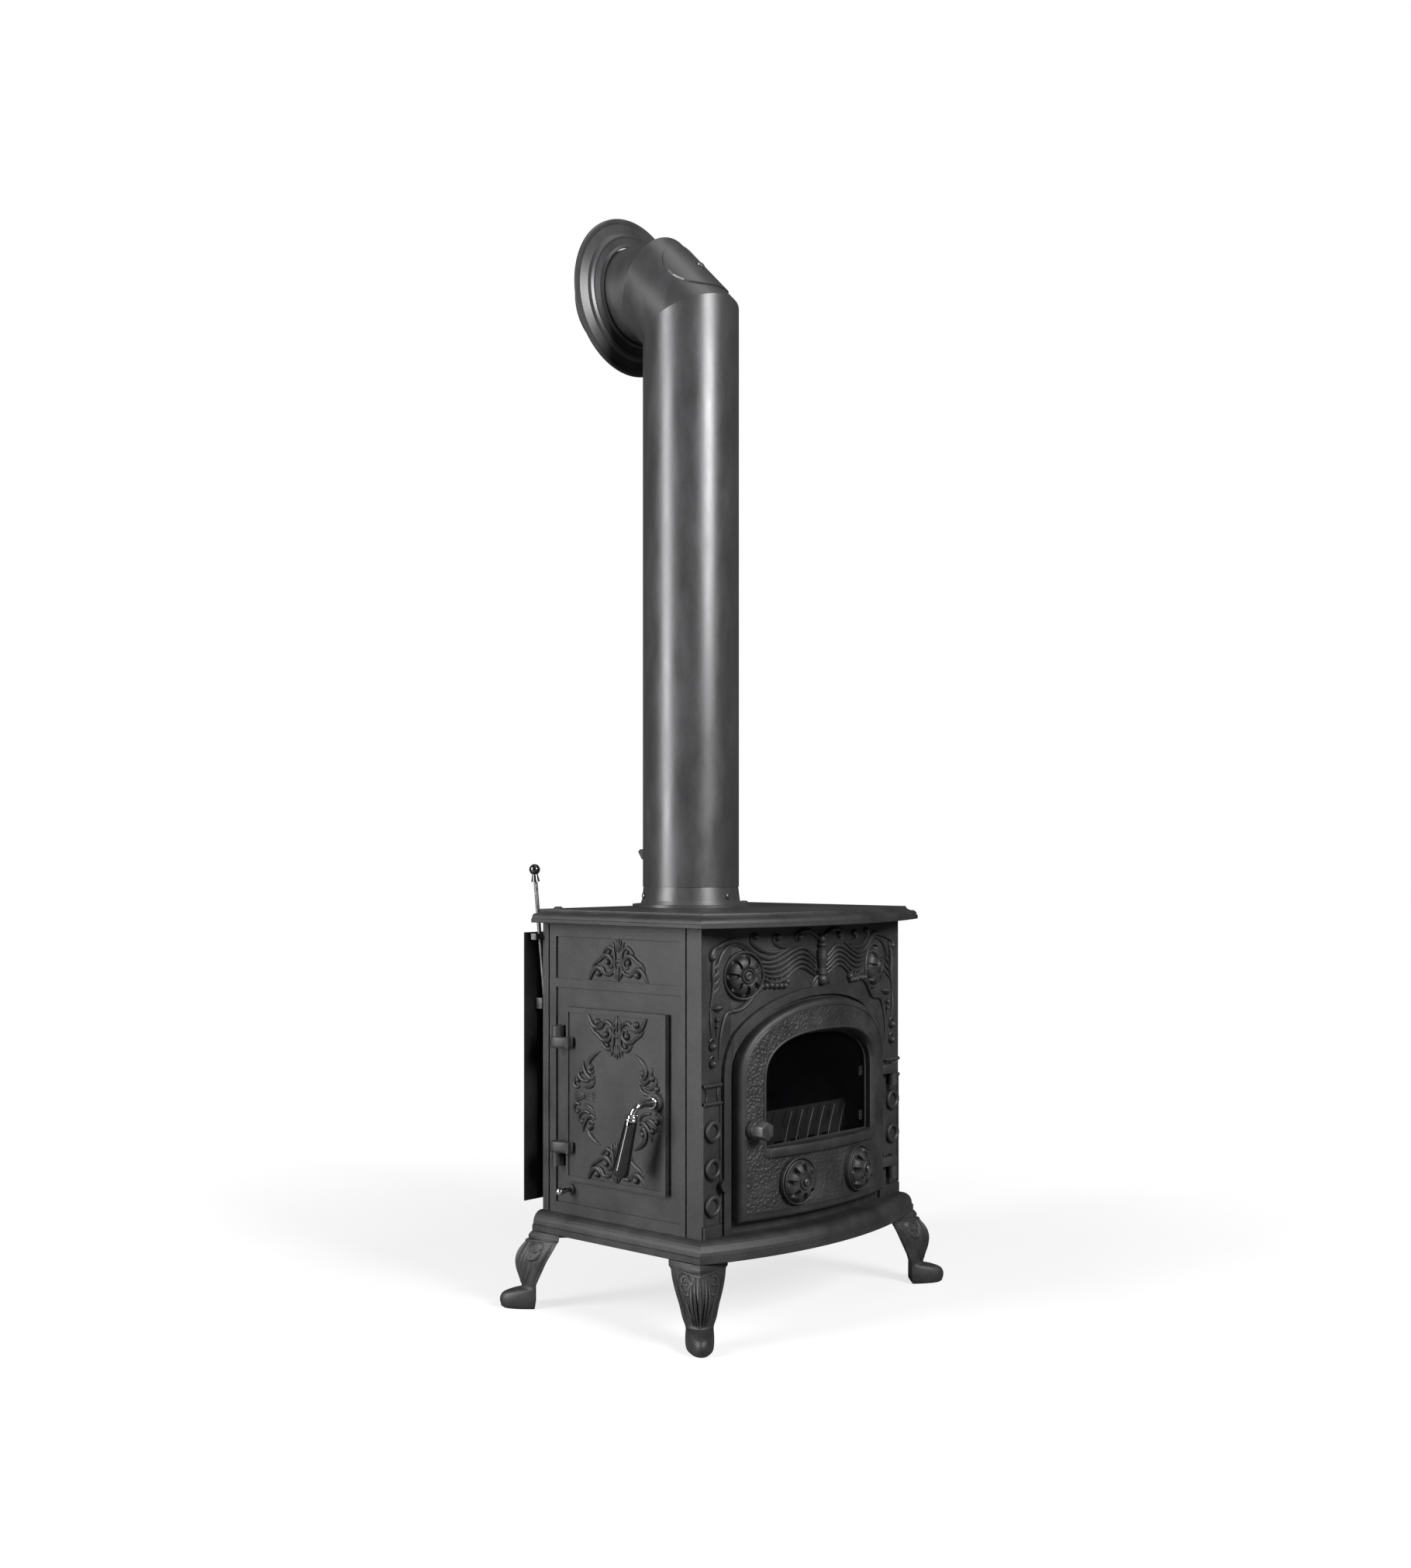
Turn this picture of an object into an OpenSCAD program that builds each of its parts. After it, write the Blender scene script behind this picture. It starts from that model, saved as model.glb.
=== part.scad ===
// Bow-fronted cast-iron wood stove with a glazed front door, a side door and a flue that turns into the wall.
// Millimetres. X runs to the right seen from the front, Y to the wall behind, Z up.
// The origin lies on the floor, under the middle of the whole stove with its flue.

/* [Body] */
// Width across the side panels
body_w = 463; // [450:1:480]
// Depth from the flat front corners to the back panel
body_d = 318; // [310:1:330]
// Height of the panels between the base and the top plate
body_h = 429; // [424:1:440]
// Thickness of the cast panels
wall = 7; // [6:0.5:8]
// Radius of the front plate's bowed face
bow_r = 575; // [560:5:600]
// How far the bow's middle stands in front of the flat corners
bow_out = 25.5; // [23:0.5:28]
// Length of the front plate's return along each side
front_return = 27; // [22:1:32]
// Length of the back panel's return along each side
back_return = 12; // [10:1:16]
// Depth of the sunken fields in the side panels
field_sink = 3; // [1:0.5:4]

/* [Base and legs] */
// Height of the legs, from the floor to the underside of the base
leg_h = 113; // [105:1:125]
// Height of the moulded base
base_h = 29; // [26:1:34]
// How far the base stands out past the side panels
base_side = 20; // [16:1:24]
// How far the base's bow stands in front of the front plate's bow
base_front = 43; // [40:1:46]
// Half the width of a leg at its top
leg_half_w = 41; // [36:1:44]
// Half the width of a foot
foot_half_w = 18.5; // [15:0.5:22]
// How far a toe reaches out past the base's corner, along the diagonal
toe_reach = 47; // [40:1:52]
// Radius of the leg bolts
leg_bolt_r = 4; // [3:0.5:5]
// Radius of the tie rods
tie_r = 4; // [3:0.5:5]

/* [Top plate] */
// Thickness of the top plate's moulded rim
top_t = 20; // [18:1:24]
// Thickness of the top plate inside its rim
deck_t = 9; // [7:0.5:12]
// How far the top plate stands out past the side panels
top_side = 24; // [18:1:30]
// How far the top plate's bow stands in front of the front plate's bow
top_front = 50; // [47:1:54]
// Width of the ogee moulding round the top plate
top_ogee = 17; // [12:1:20]

/* [Flue] */
// Distance from the flue's axis forward of the body's back face
flue_back = 88.5; // [86:0.5:100]
// Distance from the flue's axis back to the origin's plane
flue_y = 60.5; // [50:0.5:70]
// Outer radius of the flue pipe
pipe_r = 75; // [70:0.5:80]
// Wall of the flue pipe
pipe_wall = 2; // [1.5:0.1:3]
// Height of the pipe's top end above the floor
pipe_top_z = 1394; // [1200:5:1420]
// Height of the elbow's level axis above the floor
elbow_z = 1566; // [1560:1:1700]
// Distance from the flue's axis back to the wall
wall_reach = 133; // [125:1:200]
// Length of the pipe's end inside the wall
stub_len = 50; // [40:5:100]
// Height of the cast collar, with its flange
collar_h = 31; // [28:1:40]
// Radius of the collar's flange
flange_r = 91; // [86:1:96]
// Thickness of the collar's flange
flange_t = 4; // [3:0.5:6]
// Outer radius of the wall rosette
rosette_r = 124; // [115:1:135]
// Gap between the rosette's neck and the pipe
rosette_gap = 1.5; // [1:0.5:6]
// Height of the damper's axis above the top plate
damper_rise = 85; // [80:1:120]
// Gap between the damper's edge and the pipe
damper_gap = 10; // [9:0.5:14]
// Radius of the damper's spindle
spindle_r = 4; // [3:0.5:5]

/* [Front door] */
// Half the width of the front door
door_half_w = 170; // [165:0.5:172]
// Gap between the door's foot and the base
door_foot_gap = 15; // [12:1:20]
// Height of the arch's springing above the base
door_spring = 220; // [210:1:230]
// Rise of the door's arch above its springing
door_rise = 101; // [90:1:104]
// How far the door's face stands in front of the plate
door_out = 17.5; // [16:0.5:20]
// Thickness of the door's face
door_shell = 8; // [6:0.5:9]
// Width of the door's rim
door_rim = 5; // [4:0.5:6]
// Width of the rope seal
seal_w = 6.5; // [5:0.5:7]
// Gap between the door's edge and the arch rib round it
rib_gap = 5.5; // [4:0.5:7]
// Width of the arch rib
rib_w = 15; // [10:1:17]
// How far the arch rib stands out
rib_out = 6; // [3:0.5:7]
// Half the width of the window
window_half_w = 120; // [110:1:124]
// Height of the window's sill above the base
window_sill = 117; // [112:1:124]
// Height of the window's springing above the base
window_spring = 208; // [200:1:212]
// Rise of the window's flat arch above its springing
window_rise = 61; // [50:1:66]
// Width of the bevel round the window
window_bevel = 10; // [6:1:12]
// Thickness of the glass
glass_t = 4; // [3:0.5:5]
// Distance of the hinge's axis to the right of the middle
hinge_x = 200; // [197:1:203]
// Distance of the hinge's axis in front of the flat corners
hinge_out = 11.5; // [11:0.5:14]
// Radius of the hinge pins
hinge_pin_r = 4; // [3:0.5:4.5]
// Distance of the latch's axis to the left of the middle
latch_x = 149; // [146:0.5:150]
// Height of the latch's axis above the base
latch_rise = 145; // [140:1:150]
// Width of the latch's hexagon across its flats
hex_af = 22; // [18:0.5:24]
// Distance of each air spinner from the middle
spinner_x = 70.5; // [66:0.5:76]
// Height of the air spinners above the base
spinner_rise = 65; // [62:1:68]
// Radius of the air spinners' seats
spinner_r = 33.5; // [31:0.5:36]

/* [Side door] */
// Width of the side door
side_w = 200; // [190:1:206]
// Height of the side door
side_h = 254; // [244:1:260]
// Height of the side door's foot above the base
side_foot = 52; // [50:1:58]
// Distance from the side door's back edge to the body's back
side_back = 55.5; // [54:0.5:60]
// How far the side door stands out past the side panel
side_out = 6; // [6:0.5:12]
// How far the side door laps over its opening
side_lap = 9; // [8:0.5:11]
// Distance of the side hinge's axis behind the door's back edge
side_hinge_back = 13; // [12:0.5:15]
// Distance of the side hinge's axis out from the panel
side_hinge_out = 11; // [10:0.5:13]
// Height of the side handle's axis above the base
handle_rise = 183; // [170:1:186]
// Distance of the side handle's axis from the doorway's front edge
handle_in = 8.5; // [8:0.5:10]
// How far the grip stands out from the side panel
grip_out = 49.5; // [44:0.5:58]
// Length of the grip
grip_len = 82; // [70:1:100]
// Angle of the hanging grip from the plumb line
grip_lean = 16; // [0:0.5:25]

/* [Inside] */
// Height of the grate's top above the base
grate_rise = 84; // [80:1:86]
// Thickness of the grate
grate_t = 10; // [8:1:12]
// Height of the ash pan
pan_h = 26; // [18:1:28]
// Thickness of the ash pan's sheet
pan_wall = 2; // [1:0.5:3]
// Height of the riddling rod above the base
riddle_rise = 37; // [34:1:40]
// Distance of the riddling rod from the body's back
riddle_back = 58.5; // [57:0.5:62]
// Travel of the riddling plate
riddle_travel = 15; // [10:1:18]
// Radius of the riddling rod
riddle_r = 3; // [2:0.5:3.5]
// Height of the log guard above the grate
guard_h = 70; // [60:1:110]
// Half the width of the log guard
guard_half_w = 133; // [110:1:145]
// Distance of the rear liner's face from the body's back
liner_back = 83.5; // [70:0.5:86]
// Height of the baffle's underside above the base
baffle_rise = 328; // [310:1:335]
// Depth of the baffle in front of the rear liner
baffle_d = 130; // [100:1:150]

/* [Back] */
// Gap between the body's back and the heat shield
shield_gap = 14.5; // [13:0.5:20]
// Half the width of the heat shield
shield_half_w = 255; // [240:1:260]
// Height of the shield's lower edge above the base
shield_foot = 14; // [5:1:30]
// Height of the shield
shield_h = 400; // [380:1:410]
// Radius of the air control's rod
air_rod_r = 3; // [2.5:0.5:3.5]
// Lean of the air control's rod from the plumb line
air_rod_lean = 6; // [0:0.5:8]
// Travel of the air control's shutter
air_travel = 30; // [20:1:34]

/* [Hidden] */
$fn = 64;

// Colours
iron = "#4b4b50";
pipe_grey = "#5c5c60";
shield_black = "#1d1d1f";
bright = "#c9cacc";
gloss_black = "#111112";
steel = "#77777b";
rope = "#8d8a80";
liner_grey = "#77766a";

// Clearances
run = 0.06;      // round a pin or shaft that turns
free = 0.4;      // between pieces that move past each other
lay = 0.3;       // between a seal or sheet and what it lies against
eps = 1;         // overrun of a cut
bow_fn = 360;    // steps round the wide circles of the bows

// Heights
z_base = leg_h;
z_body = z_base + base_h;
z_top = z_body + body_h;
z_deck = z_top + top_t;

// Plan
half_w = body_w / 2;
y_back = flue_y + flue_back;
y_front = y_back - body_d;
bow_y = y_front - bow_out + bow_r;
inner_x = half_w - wall;
base_half_w = half_w + base_side;
base_r = bow_r + base_front;
base_back = 2;
top_half_w = half_w + top_side;
top_r = bow_r + top_front;

// Leg lugs and their bolts, measured in along the diagonal from the base's corner
lug_end = 76;
lug_half_w = 16;
lug_t = 8;
lug_bolt_in = 60;
bolt_head_h = 5;
base_floor_t = 10;

// Front door
z_door = z_body + door_foot_gap;
z_spring = z_body + door_spring;
z_arch = z_spring + door_rise;
door_r = bow_r + door_out;
door_back_r = bow_r + 0.5;
opening_half_w = door_half_w - door_rim - seal_w;
landing = door_half_w - opening_half_w;
rebate = 2;
hinge_y = y_front - hinge_out;
knuckle_r = hinge_pin_r + 3.5;
hinge_split = [191, 48];            // heights above the base where a door lug sits on its fixed knuckle
lug_h = [15, 15];                   // heights of the door's lugs
knuckle_h = [18, 20];               // heights of the fixed knuckles
pin_head_h = 3;
z_latch = z_body + latch_rise;
latch_shaft_r = 5;
tongue_w = 11;
tongue_t = 6;
tongue_len = 24;
hex_len = 25;
collar_len = 5;
latch_collar_r = 13;
latch_seat_y = bow_y - sqrt(pow(door_r, 2) - pow(latch_x - latch_collar_r - 1, 2)) - 0.5;
tongue_y = y_front + wall + 0.6;
z_spinner = z_body + spinner_rise;
seat_h = 5;
spinner_disc_r = spinner_r - 3.5;
spinner_hole_r = 4.5;
spinner_hole_pcr = 20.5;
stud_r = 3;
spinner_dome_h = 10;
spinner_top = seat_h + lay + 2.5 + 1.15 * spinner_dome_h;   // above the door's face

// Window and glass
z_sill = z_body + window_sill;
z_window_spring = z_body + window_spring;
z_window_top = z_window_spring + window_rise;
glass_lap = 3;
glass_half_w = window_half_w + glass_lap;
frame_w = 16;
glass_y = bow_y - sqrt(pow(door_r - door_shell, 2) - pow(window_half_w + frame_w, 2)) + 1.5;
gasket_t = 1.5;
clip_t = 2;
clip_l = 26;
clip_h = 14;

// Side door
x_side = -half_w;
z_side = z_body + side_foot;
y_side_back = y_back - side_back;
y_side_front = y_side_back - side_w;
side_rim = 6;
side_face_t = 4;
side_back_x = x_side + field_sink - free;
side_hinge_x = x_side - side_hinge_out;
side_hinge_y = y_side_back + side_hinge_back;
side_knuckle_r = hinge_pin_r + 4;
side_split = [262, 92];             // heights above the base where a strap meets its fixed knuckle
side_strap_h = 16;
side_knuckle_h = [16, 20];
handle_y = y_side_front + side_lap + handle_in;
z_handle = z_body + handle_rise;
arm_r = 5.5;
grip_r_top = 9;
grip_r_end = 13;
field_back = 28.5;
field_len = 248;
field_z = [[16, side_foot + side_h + 12], [body_h - 82, 62]];   // foot and height of the two sunken fields, above the base

// Inside
z_grate = z_body + grate_rise;
grate_half_w = inner_x - 19.5;
ledge_h = 8;
y_liner = y_back - liner_back;
liner_t = 7;
liner_half_w = grate_half_w + 10;
grate_y0 = y_front + wall + 16;
grate_y1 = y_back - wall - 2;
riddle_t = 6;
z_riddle_top = z_grate - grate_t - 8;
z_riddle_rod = z_body + riddle_rise;
riddle_y = y_back - riddle_back;
riddle_y0 = grate_y0 + 70;
riddle_y1 = riddle_y + 8;
riddle_half_w = 70;
slot_w = 9;
slot_x = grate_half_w / 2 - 2.5;
slot_half = slot_x - 15;
slot_pitch = 20;
z_baffle = z_body + baffle_rise;
pan_half_w = opening_half_w - 8.5;
pan_y0 = grate_y0 + 2;
pan_y1 = y_liner - 4;
z_pan = z_door + door_rim + seal_w + 0.5;
rail_x = 115;

// Back
shield_t = 2;
y_shield = y_back + shield_gap;
z_shield = z_body + shield_foot;
spacer_at = [150, 60];              // spacers: sideways from the middle, and in from the shield's upper and lower edges
spacer_r = 7;
screw_r = 3;
air_rod_y = y_back + 7;
air_ball_x = -half_w - 10.5;
z_air_ball = z_deck + 58.5;
air_ball_r = 8.1;
air_rod_len = 210;
air_dir = [-sin(air_rod_lean), 0, cos(air_rod_lean)];
port_w = 30;
port_h = 24;
port_x = -half_w + 35.5;
z_port = z_air_ball - air_rod_len + 2;
shutter_lap = 6;

// Flue
mitre_z = elbow_z - 69;
sleeve_len = 40;
sleeve_r = pipe_r - pipe_wall - 0.3;
sleeve_wall = 3;
collar_sleeve = 22;                 // length of the collar's sleeve inside the pipe
stub_r = pipe_r - 0.8;
z_damper = z_deck + damper_rise;
damper_r = pipe_r - pipe_wall - damper_gap;
y_wall = flue_y + wall_reach;
dish_r = rosette_r - 33;            // foot of the rosette's dish
tie_at = [half_w - 17.5, y_back - 14.5];
tie_head_r = 6.5;
tie_head_h = 3;
ledge_end = tie_at[1] - tie_r - 3;

// ---- Shapes that repeat ----

module block(x0, x1, y0, y1, z0, z1) {
    translate([x0, y0, z0]) cube([x1 - x0, y1 - y0, z1 - z0]);
}

module rod_x(r, y, z, x0, x1) {
    translate([x0, y, z]) rotate([0, 90, 0]) cylinder(r = r, h = x1 - x0);
}

module rod_y(r, x, z, y0, y1) {
    translate([x, y1, z]) rotate([90, 0, 0]) cylinder(r = r, h = y1 - y0);
}

module rod_z(r, x, y, z0, z1) {
    translate([x, y, z0]) cylinder(r = r, h = z1 - z0);
}

// A drawing of X and Z, drawn out along Y
module along_y(y0, y1) {
    translate([0, y1, 0]) rotate([90, 0, 0]) linear_extrude(y1 - y0) children();
}

// A drawing of Y and Z, drawn out along X
module along_x(x0, x1) {
    translate([x0, 0, 0]) rotate([90, 0, 90]) linear_extrude(x1 - x0) children();
}

// An upright outline with a rounded arch: half width, foot, springing, top and roundness
function arch(hw, z0, zs, z1, n = 2.1, steps = 24) = concat(
    [[hw, z0]],
    [for (i = [0 : steps])
        let (c = cos(i * 180 / steps), s = sin(i * 180 / steps))
        [hw * sign(c) * pow(abs(c), 2 / n), zs + (z1 - zs) * pow(s, 2 / n)]],
    [[-hw, z0]]
);

// The front door's outline, made smaller by an inset
function door_arch(inset) = arch(door_half_w - inset, z_door + inset, z_spring, z_arch - inset);

// The window's outline, made larger by an outset
function window_arch(outset) =
    arch(window_half_w + outset, z_sill - outset, z_window_spring, z_window_top + outset, 2.6);

function oval(a, b, n = 2.3, steps = 36) = [
    for (i = [0 : steps - 1])
        let (c = cos(i * 360 / steps), s = sin(i * 360 / steps))
        [a * sign(c) * pow(abs(c), 2 / n), b * sign(s) * pow(abs(s), 2 / n)]
];

module arch_ring(outer, inner) {
    difference() {
        polygon(outer);
        polygon(inner);
    }
}

// The space between two bowed faces
module bow_band(r0, r1, z0, z1) {
    intersection() {
        translate([0, bow_y, z0]) difference() {
            cylinder(r = r1, h = z1 - z0, $fn = bow_fn);
            translate([0, 0, -eps]) cylinder(r = r0, h = z1 - z0 + 2 * eps, $fn = bow_fn);
        }
        block(-half_w, half_w, bow_y - r1 - eps, bow_y, z0, z1);
    }
}

// Plan of the front plate, its face pushed out by o and its sides drawn in by side
module front_region(o, side) {
    translate([-half_w + side, y_front - o]) square([body_w - 2 * side, front_return + o]);
    intersection() {
        translate([0, bow_y]) circle(r = bow_r + o, $fn = bow_fn);
        translate([-half_w + side, y_front - bow_out - 2 * rib_out])
            square([body_w - 2 * side, front_return + bow_out + 2 * rib_out]);
    }
}

// What stands out from the front plate's face by o, over its whole face
module front_skin(o) {
    translate([0, 0, z_body]) linear_extrude(body_h) difference() {
        front_region(o, 0);
        front_region(-1, -1);
    }
}

// Puts a piece on a bowed face of radius r, its own +Z pointing straight out of the face
module on_bow(x, z, r) {
    a = asin(x / r);
    translate([x, bow_y - r * cos(a), z]) rotate([0, 0, a]) rotate([90, 0, 0]) children();
}

// A slab with a moulded edge: profile of [inset, height], half width, bow radius, back and height
module moulded(profile, hw, r, back, h) {
    intersection() {
        translate([0, bow_y, 0]) rotate_extrude($fn = bow_fn)
            polygon(concat([[0, 0]], [for (p = profile) [r - p[0], p[1]]], [[0, h]]));
        translate([0, back, 0]) rotate([90, 0, 0]) linear_extrude(back - bow_y + r + eps)
            polygon(concat(
                [for (p = profile) [hw - p[0], p[1]]],
                [for (i = [len(profile) - 1 : -1 : 0]) [-hw + profile[i][0], profile[i][1]]]
            ));
    }
}

module pan_head(r, h) {
    cylinder(r = r, h = h * 0.5);
    translate([0, 0, h * 0.5]) cylinder(r1 = r, r2 = r * 0.7, h = h * 0.5);
}

// ---- Base and legs ----

base_profile = concat(
    [[0.8, 0], [0, 1], [0, 9], [2, 10]],
    [for (a = [0 : 15 : 90]) [2 + (base_side - 4) * (1 - cos(a)), 11 + (base_h - 11) * sin(a)]]
);

function corner_y(r, hw) = bow_y - sqrt(r * r - hw * hw);

// Puts a piece at a base corner, +X running out along the corner's diagonal: sx and sy are -1 or 1
module at_corner(sx, sy) {
    y = sy < 0 ? corner_y(base_r, base_half_w) : y_back + base_back;
    translate([sx * base_half_w, y, 0]) rotate([0, 0, atan2(sy, sx)]) children();
}

corners = [[-1, -1], [1, -1], [-1, 1], [1, 1]];

module base_plate() color(iron) difference() {
    union() {
        translate([0, 0, z_base]) moulded(base_profile, base_half_w, base_r, y_back + base_back, base_h);
        // Rails that the ash pan slides on
        for (s = [-1, 1]) block(s * rail_x - 5, s * rail_x + 5, pan_y0, pan_y1, z_body - eps, z_pan - 0.05);
    }
    block(-half_w + 62, half_w - 62, y_front + 10, y_back - 50, z_base - eps, z_body - base_floor_t);
    for (c = corners) at_corner(c[0], c[1]) {
        translate([-lug_bolt_in, 0, z_base - eps]) cylinder(r = leg_bolt_r + run, h = base_h + 2 * eps);
    }
    for (s = [-1, 1]) rod_z(tie_r + run, s * tie_at[0], tie_at[1], z_base + 10, z_body + eps);
}

// A leg's sections: height, reach of its ridge, reach of its back, half width, roundness
leg_rows = [
    [leg_h, 0, -leg_half_w, leg_half_w, 0.05],
    [leg_h - 3, 3, -leg_half_w, leg_half_w, 0.05],
    [leg_h - 9, 5, -leg_half_w + 1, leg_half_w - 0.5, 0.05],
    [leg_h - 12, 5, -leg_half_w + 3, leg_half_w - 3, 0.1],
    [leg_h - 24, 14, -leg_half_w + 10, leg_half_w - 5, 0.15],
    [leg_h - 40, 20, -leg_half_w + 19, leg_half_w - 9, 0.15],
    [leg_h - 56, 19, -leg_half_w + 26, leg_half_w - 14, 0.2],
    [leg_h - 72, 15.5, -leg_half_w + 33, leg_half_w - 18, 0.25],
    [28, 16, -foot_half_w + 14, foot_half_w + 0.5, 0.35],
    [20, toe_reach - 21, -4.5, foot_half_w, 0.6],
    [14, toe_reach - 6, -4.5, foot_half_w, 0.85],
    [8, toe_reach, -4.5, foot_half_w, 1],
    [2.5, toe_reach - 1, -4, foot_half_w - 0.5, 1],
    [0, toe_reach - 5, -3, foot_half_w - 2, 1]
];
leg_n = 13;

function leg_ring(row) = [
    for (i = [0 : leg_n - 1])
        let (t = 2 * i / (leg_n - 1) - 1, a = 90 * t, k = row[4], d = row[1] - row[2])
        [
            row[2] + d * ((1 - k) * (1 - abs(t)) + k * cos(a)),
            row[3] * ((1 - k) * t + k * sin(a)),
            row[0]
        ]
];

module leg_form() {
    m = len(leg_rows);
    polyhedron(
        points = [for (row = leg_rows) each leg_ring(row)],
        faces = concat(
            [[for (i = [leg_n - 1 : -1 : 0]) i]],
            [[for (i = [0 : leg_n - 1]) (m - 1) * leg_n + i]],
            [for (k = [0 : m - 2], i = [0 : leg_n - 1])
                [k * leg_n + i, k * leg_n + (i + 1) % leg_n, (k + 1) * leg_n + (i + 1) % leg_n]],
            [for (k = [0 : m - 2], i = [0 : leg_n - 1])
                [k * leg_n + i, (k + 1) * leg_n + (i + 1) % leg_n, (k + 1) * leg_n + i]]
        )
    );
}

module leg(sx, sy) color(iron) at_corner(sx, sy) difference() {
    union() {
        leg_form();
        block(-lug_end, -leg_half_w + 3, -lug_half_w, lug_half_w, leg_h - lug_t, leg_h);
    }
    translate([-lug_bolt_in, 0, 0]) cylinder(r = leg_bolt_r + run, h = leg_h + eps);
}

module leg_front_left() leg(-1, -1);
module leg_front_right() leg(1, -1);
module leg_back_left() leg(-1, 1);
module leg_back_right() leg(1, 1);

module leg_bolts() color(steel) for (c = corners) at_corner(c[0], c[1]) translate([-lug_bolt_in, 0, 0]) {
    translate([0, 0, leg_h - lug_t - 3]) cylinder(r = leg_bolt_r, h = z_body - leg_h + lug_t + 3);
    translate([0, 0, z_body]) cylinder(r = leg_bolt_r * 1.8, h = bolt_head_h, $fn = 6);
}

// ---- Front plate ----

pilaster_x = half_w - 20.5;
ring_rises = [148, 96, 45];
ledge_rises = [183, 208];
rosette_x = half_w - 80;
rosette_rise = body_h - 69;
cast_rosette_r = 33;
drop_r = 9;
drop_len = 52;

// A cast rosette or an air spinner's face: flutes round a raised ring and a button
module fluted_dome(r, h) {
    difference() {
        rotate_extrude() polygon(concat(
            [[0, 0]],
            [for (a = [0 : 15 : 75]) [r * 0.45 + r * 0.55 * cos(a), h * sin(a)]],
            [[r * 0.45, h], [r * 0.36, h * 0.9], [r * 0.36, h * 0.6], [r * 0.2, h * 0.6],
             [r * 0.2, h * 1.05], [0, h * 1.15]]
        ));
        for (a = [0 : 45 : 315])
            rotate([0, 0, a]) translate([r * 1.15, 0, h * 0.95]) rotate([0, -58, 0])
                cylinder(r = r * 0.1, h = r * 0.62);
    }
}

module cast_rosette() {
    translate([0, 0, -4]) cylinder(r = cast_rosette_r, h = 6.5);
    cylinder(r = cast_rosette_r - 4, h = 5);
    translate([0, 0, 4.5]) fluted_dome(cast_rosette_r - 8, 8);
}

module fixed_knuckle(z, h) {
    rod_z(knuckle_r, hinge_x, hinge_y, z, z + h);
    block(hinge_x - 4, hinge_x + knuckle_r, hinge_y, y_front + 2, z, z + h);
}

module front_plate() color(iron) difference() {
    union() {
        translate([0, 0, z_body]) linear_extrude(body_h) difference() {
            front_region(0, 0);
            front_region(-wall, wall);
            translate([-inner_x, y_front + wall]) square([2 * inner_x, front_return]);
        }
        // Rib round the door
        intersection() {
            along_y(y_front - bow_out - 3 * rib_out, y_front + wall) arch_ring(
                arch(door_half_w + rib_gap + rib_w, z_body, z_spring, z_arch + rib_gap + rib_w * 0.8),
                arch(door_half_w + rib_gap, z_body - eps, z_spring, z_arch + rib_gap));
            front_skin(rib_out);
        }
        // Pilasters: foot blocks, ledges and rings
        for (s = [-1, 1]) {
            block(s * pilaster_x - 18, s * pilaster_x + 18, y_front - 4, y_front + 2, z_body, z_body + 17);
            for (z = ledge_rises)
                block(s * pilaster_x - 19, s * pilaster_x + 19, y_front - 3, y_front + 2, z_body + z, z_body + z + 5);
            for (z = s < 0 ? ring_rises : [ring_rises[0], ring_rises[1]]) {
                translate([s * pilaster_x, y_front, z_body + z]) rotate([90, 0, 0]) difference() {
                    cylinder(r = 15, h = 6);
                    translate([0, 0, 2]) cylinder(r = 9, h = 6);
                }
            }
            on_bow(s * rosette_x, z_body + rosette_rise, bow_r) cast_rosette();
        }
        // Turned drop over the middle of the arch
        translate([0, y_front - bow_out - drop_r / 3, z_top - 2.5 * drop_r]) {
            translate([0, 0, -drop_len]) rotate_extrude() polygon([
                [0, 0], [drop_r, 1], [drop_r, 6], [drop_r - 3, 10], [drop_r, 24], [drop_r, 36],
                [drop_r - 4, 40], [drop_r - 1, 43], [drop_r - 1, 46], [0, 48]
            ]);
            sphere(r = drop_r - 2);
            translate([0, 0, -drop_len - 7]) sphere(r = drop_r + 0.5);
        }
        for (i = [0, 1])
            fixed_knuckle(z_body + hinge_split[i] - knuckle_h[i], knuckle_h[i]);
    }
    // Doorway
    along_y(y_front - bow_out - eps, y_front + wall + eps) polygon(door_arch(landing));
    // The rib gives way to the door's lugs
    for (i = [0, 1])
        block(door_half_w + rib_gap - 2, hinge_x + knuckle_r + 1, y_front - 4 * rib_out, y_front - 0.2,
            z_body + hinge_split[i], z_body + hinge_split[i] + lug_h[i] + pin_head_h + 2);
    rod_z(hinge_pin_r + run, hinge_x, hinge_y, z_body + hinge_split[0] - knuckle_h[0] - eps,
        z_body + hinge_split[0] + 30);
    rod_z(hinge_pin_r + run, hinge_x, hinge_y, z_body + hinge_split[1] - knuckle_h[1] - eps,
        z_body + hinge_split[1] + 30);
    rod_y(4 + run, -door_half_w - 23, z_body + 71, y_front - 20, y_front + wall + eps);
}

module striker_screw() color(iron) {
    rod_y(8.5, -door_half_w - 23, z_body + 71, y_front - rib_out - 5, y_front - rib_out);
    rod_y(4, -door_half_w - 23, z_body + 71, y_front - rib_out, y_front + wall);
}

// ---- Side and back panels, top plate ----

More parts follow.
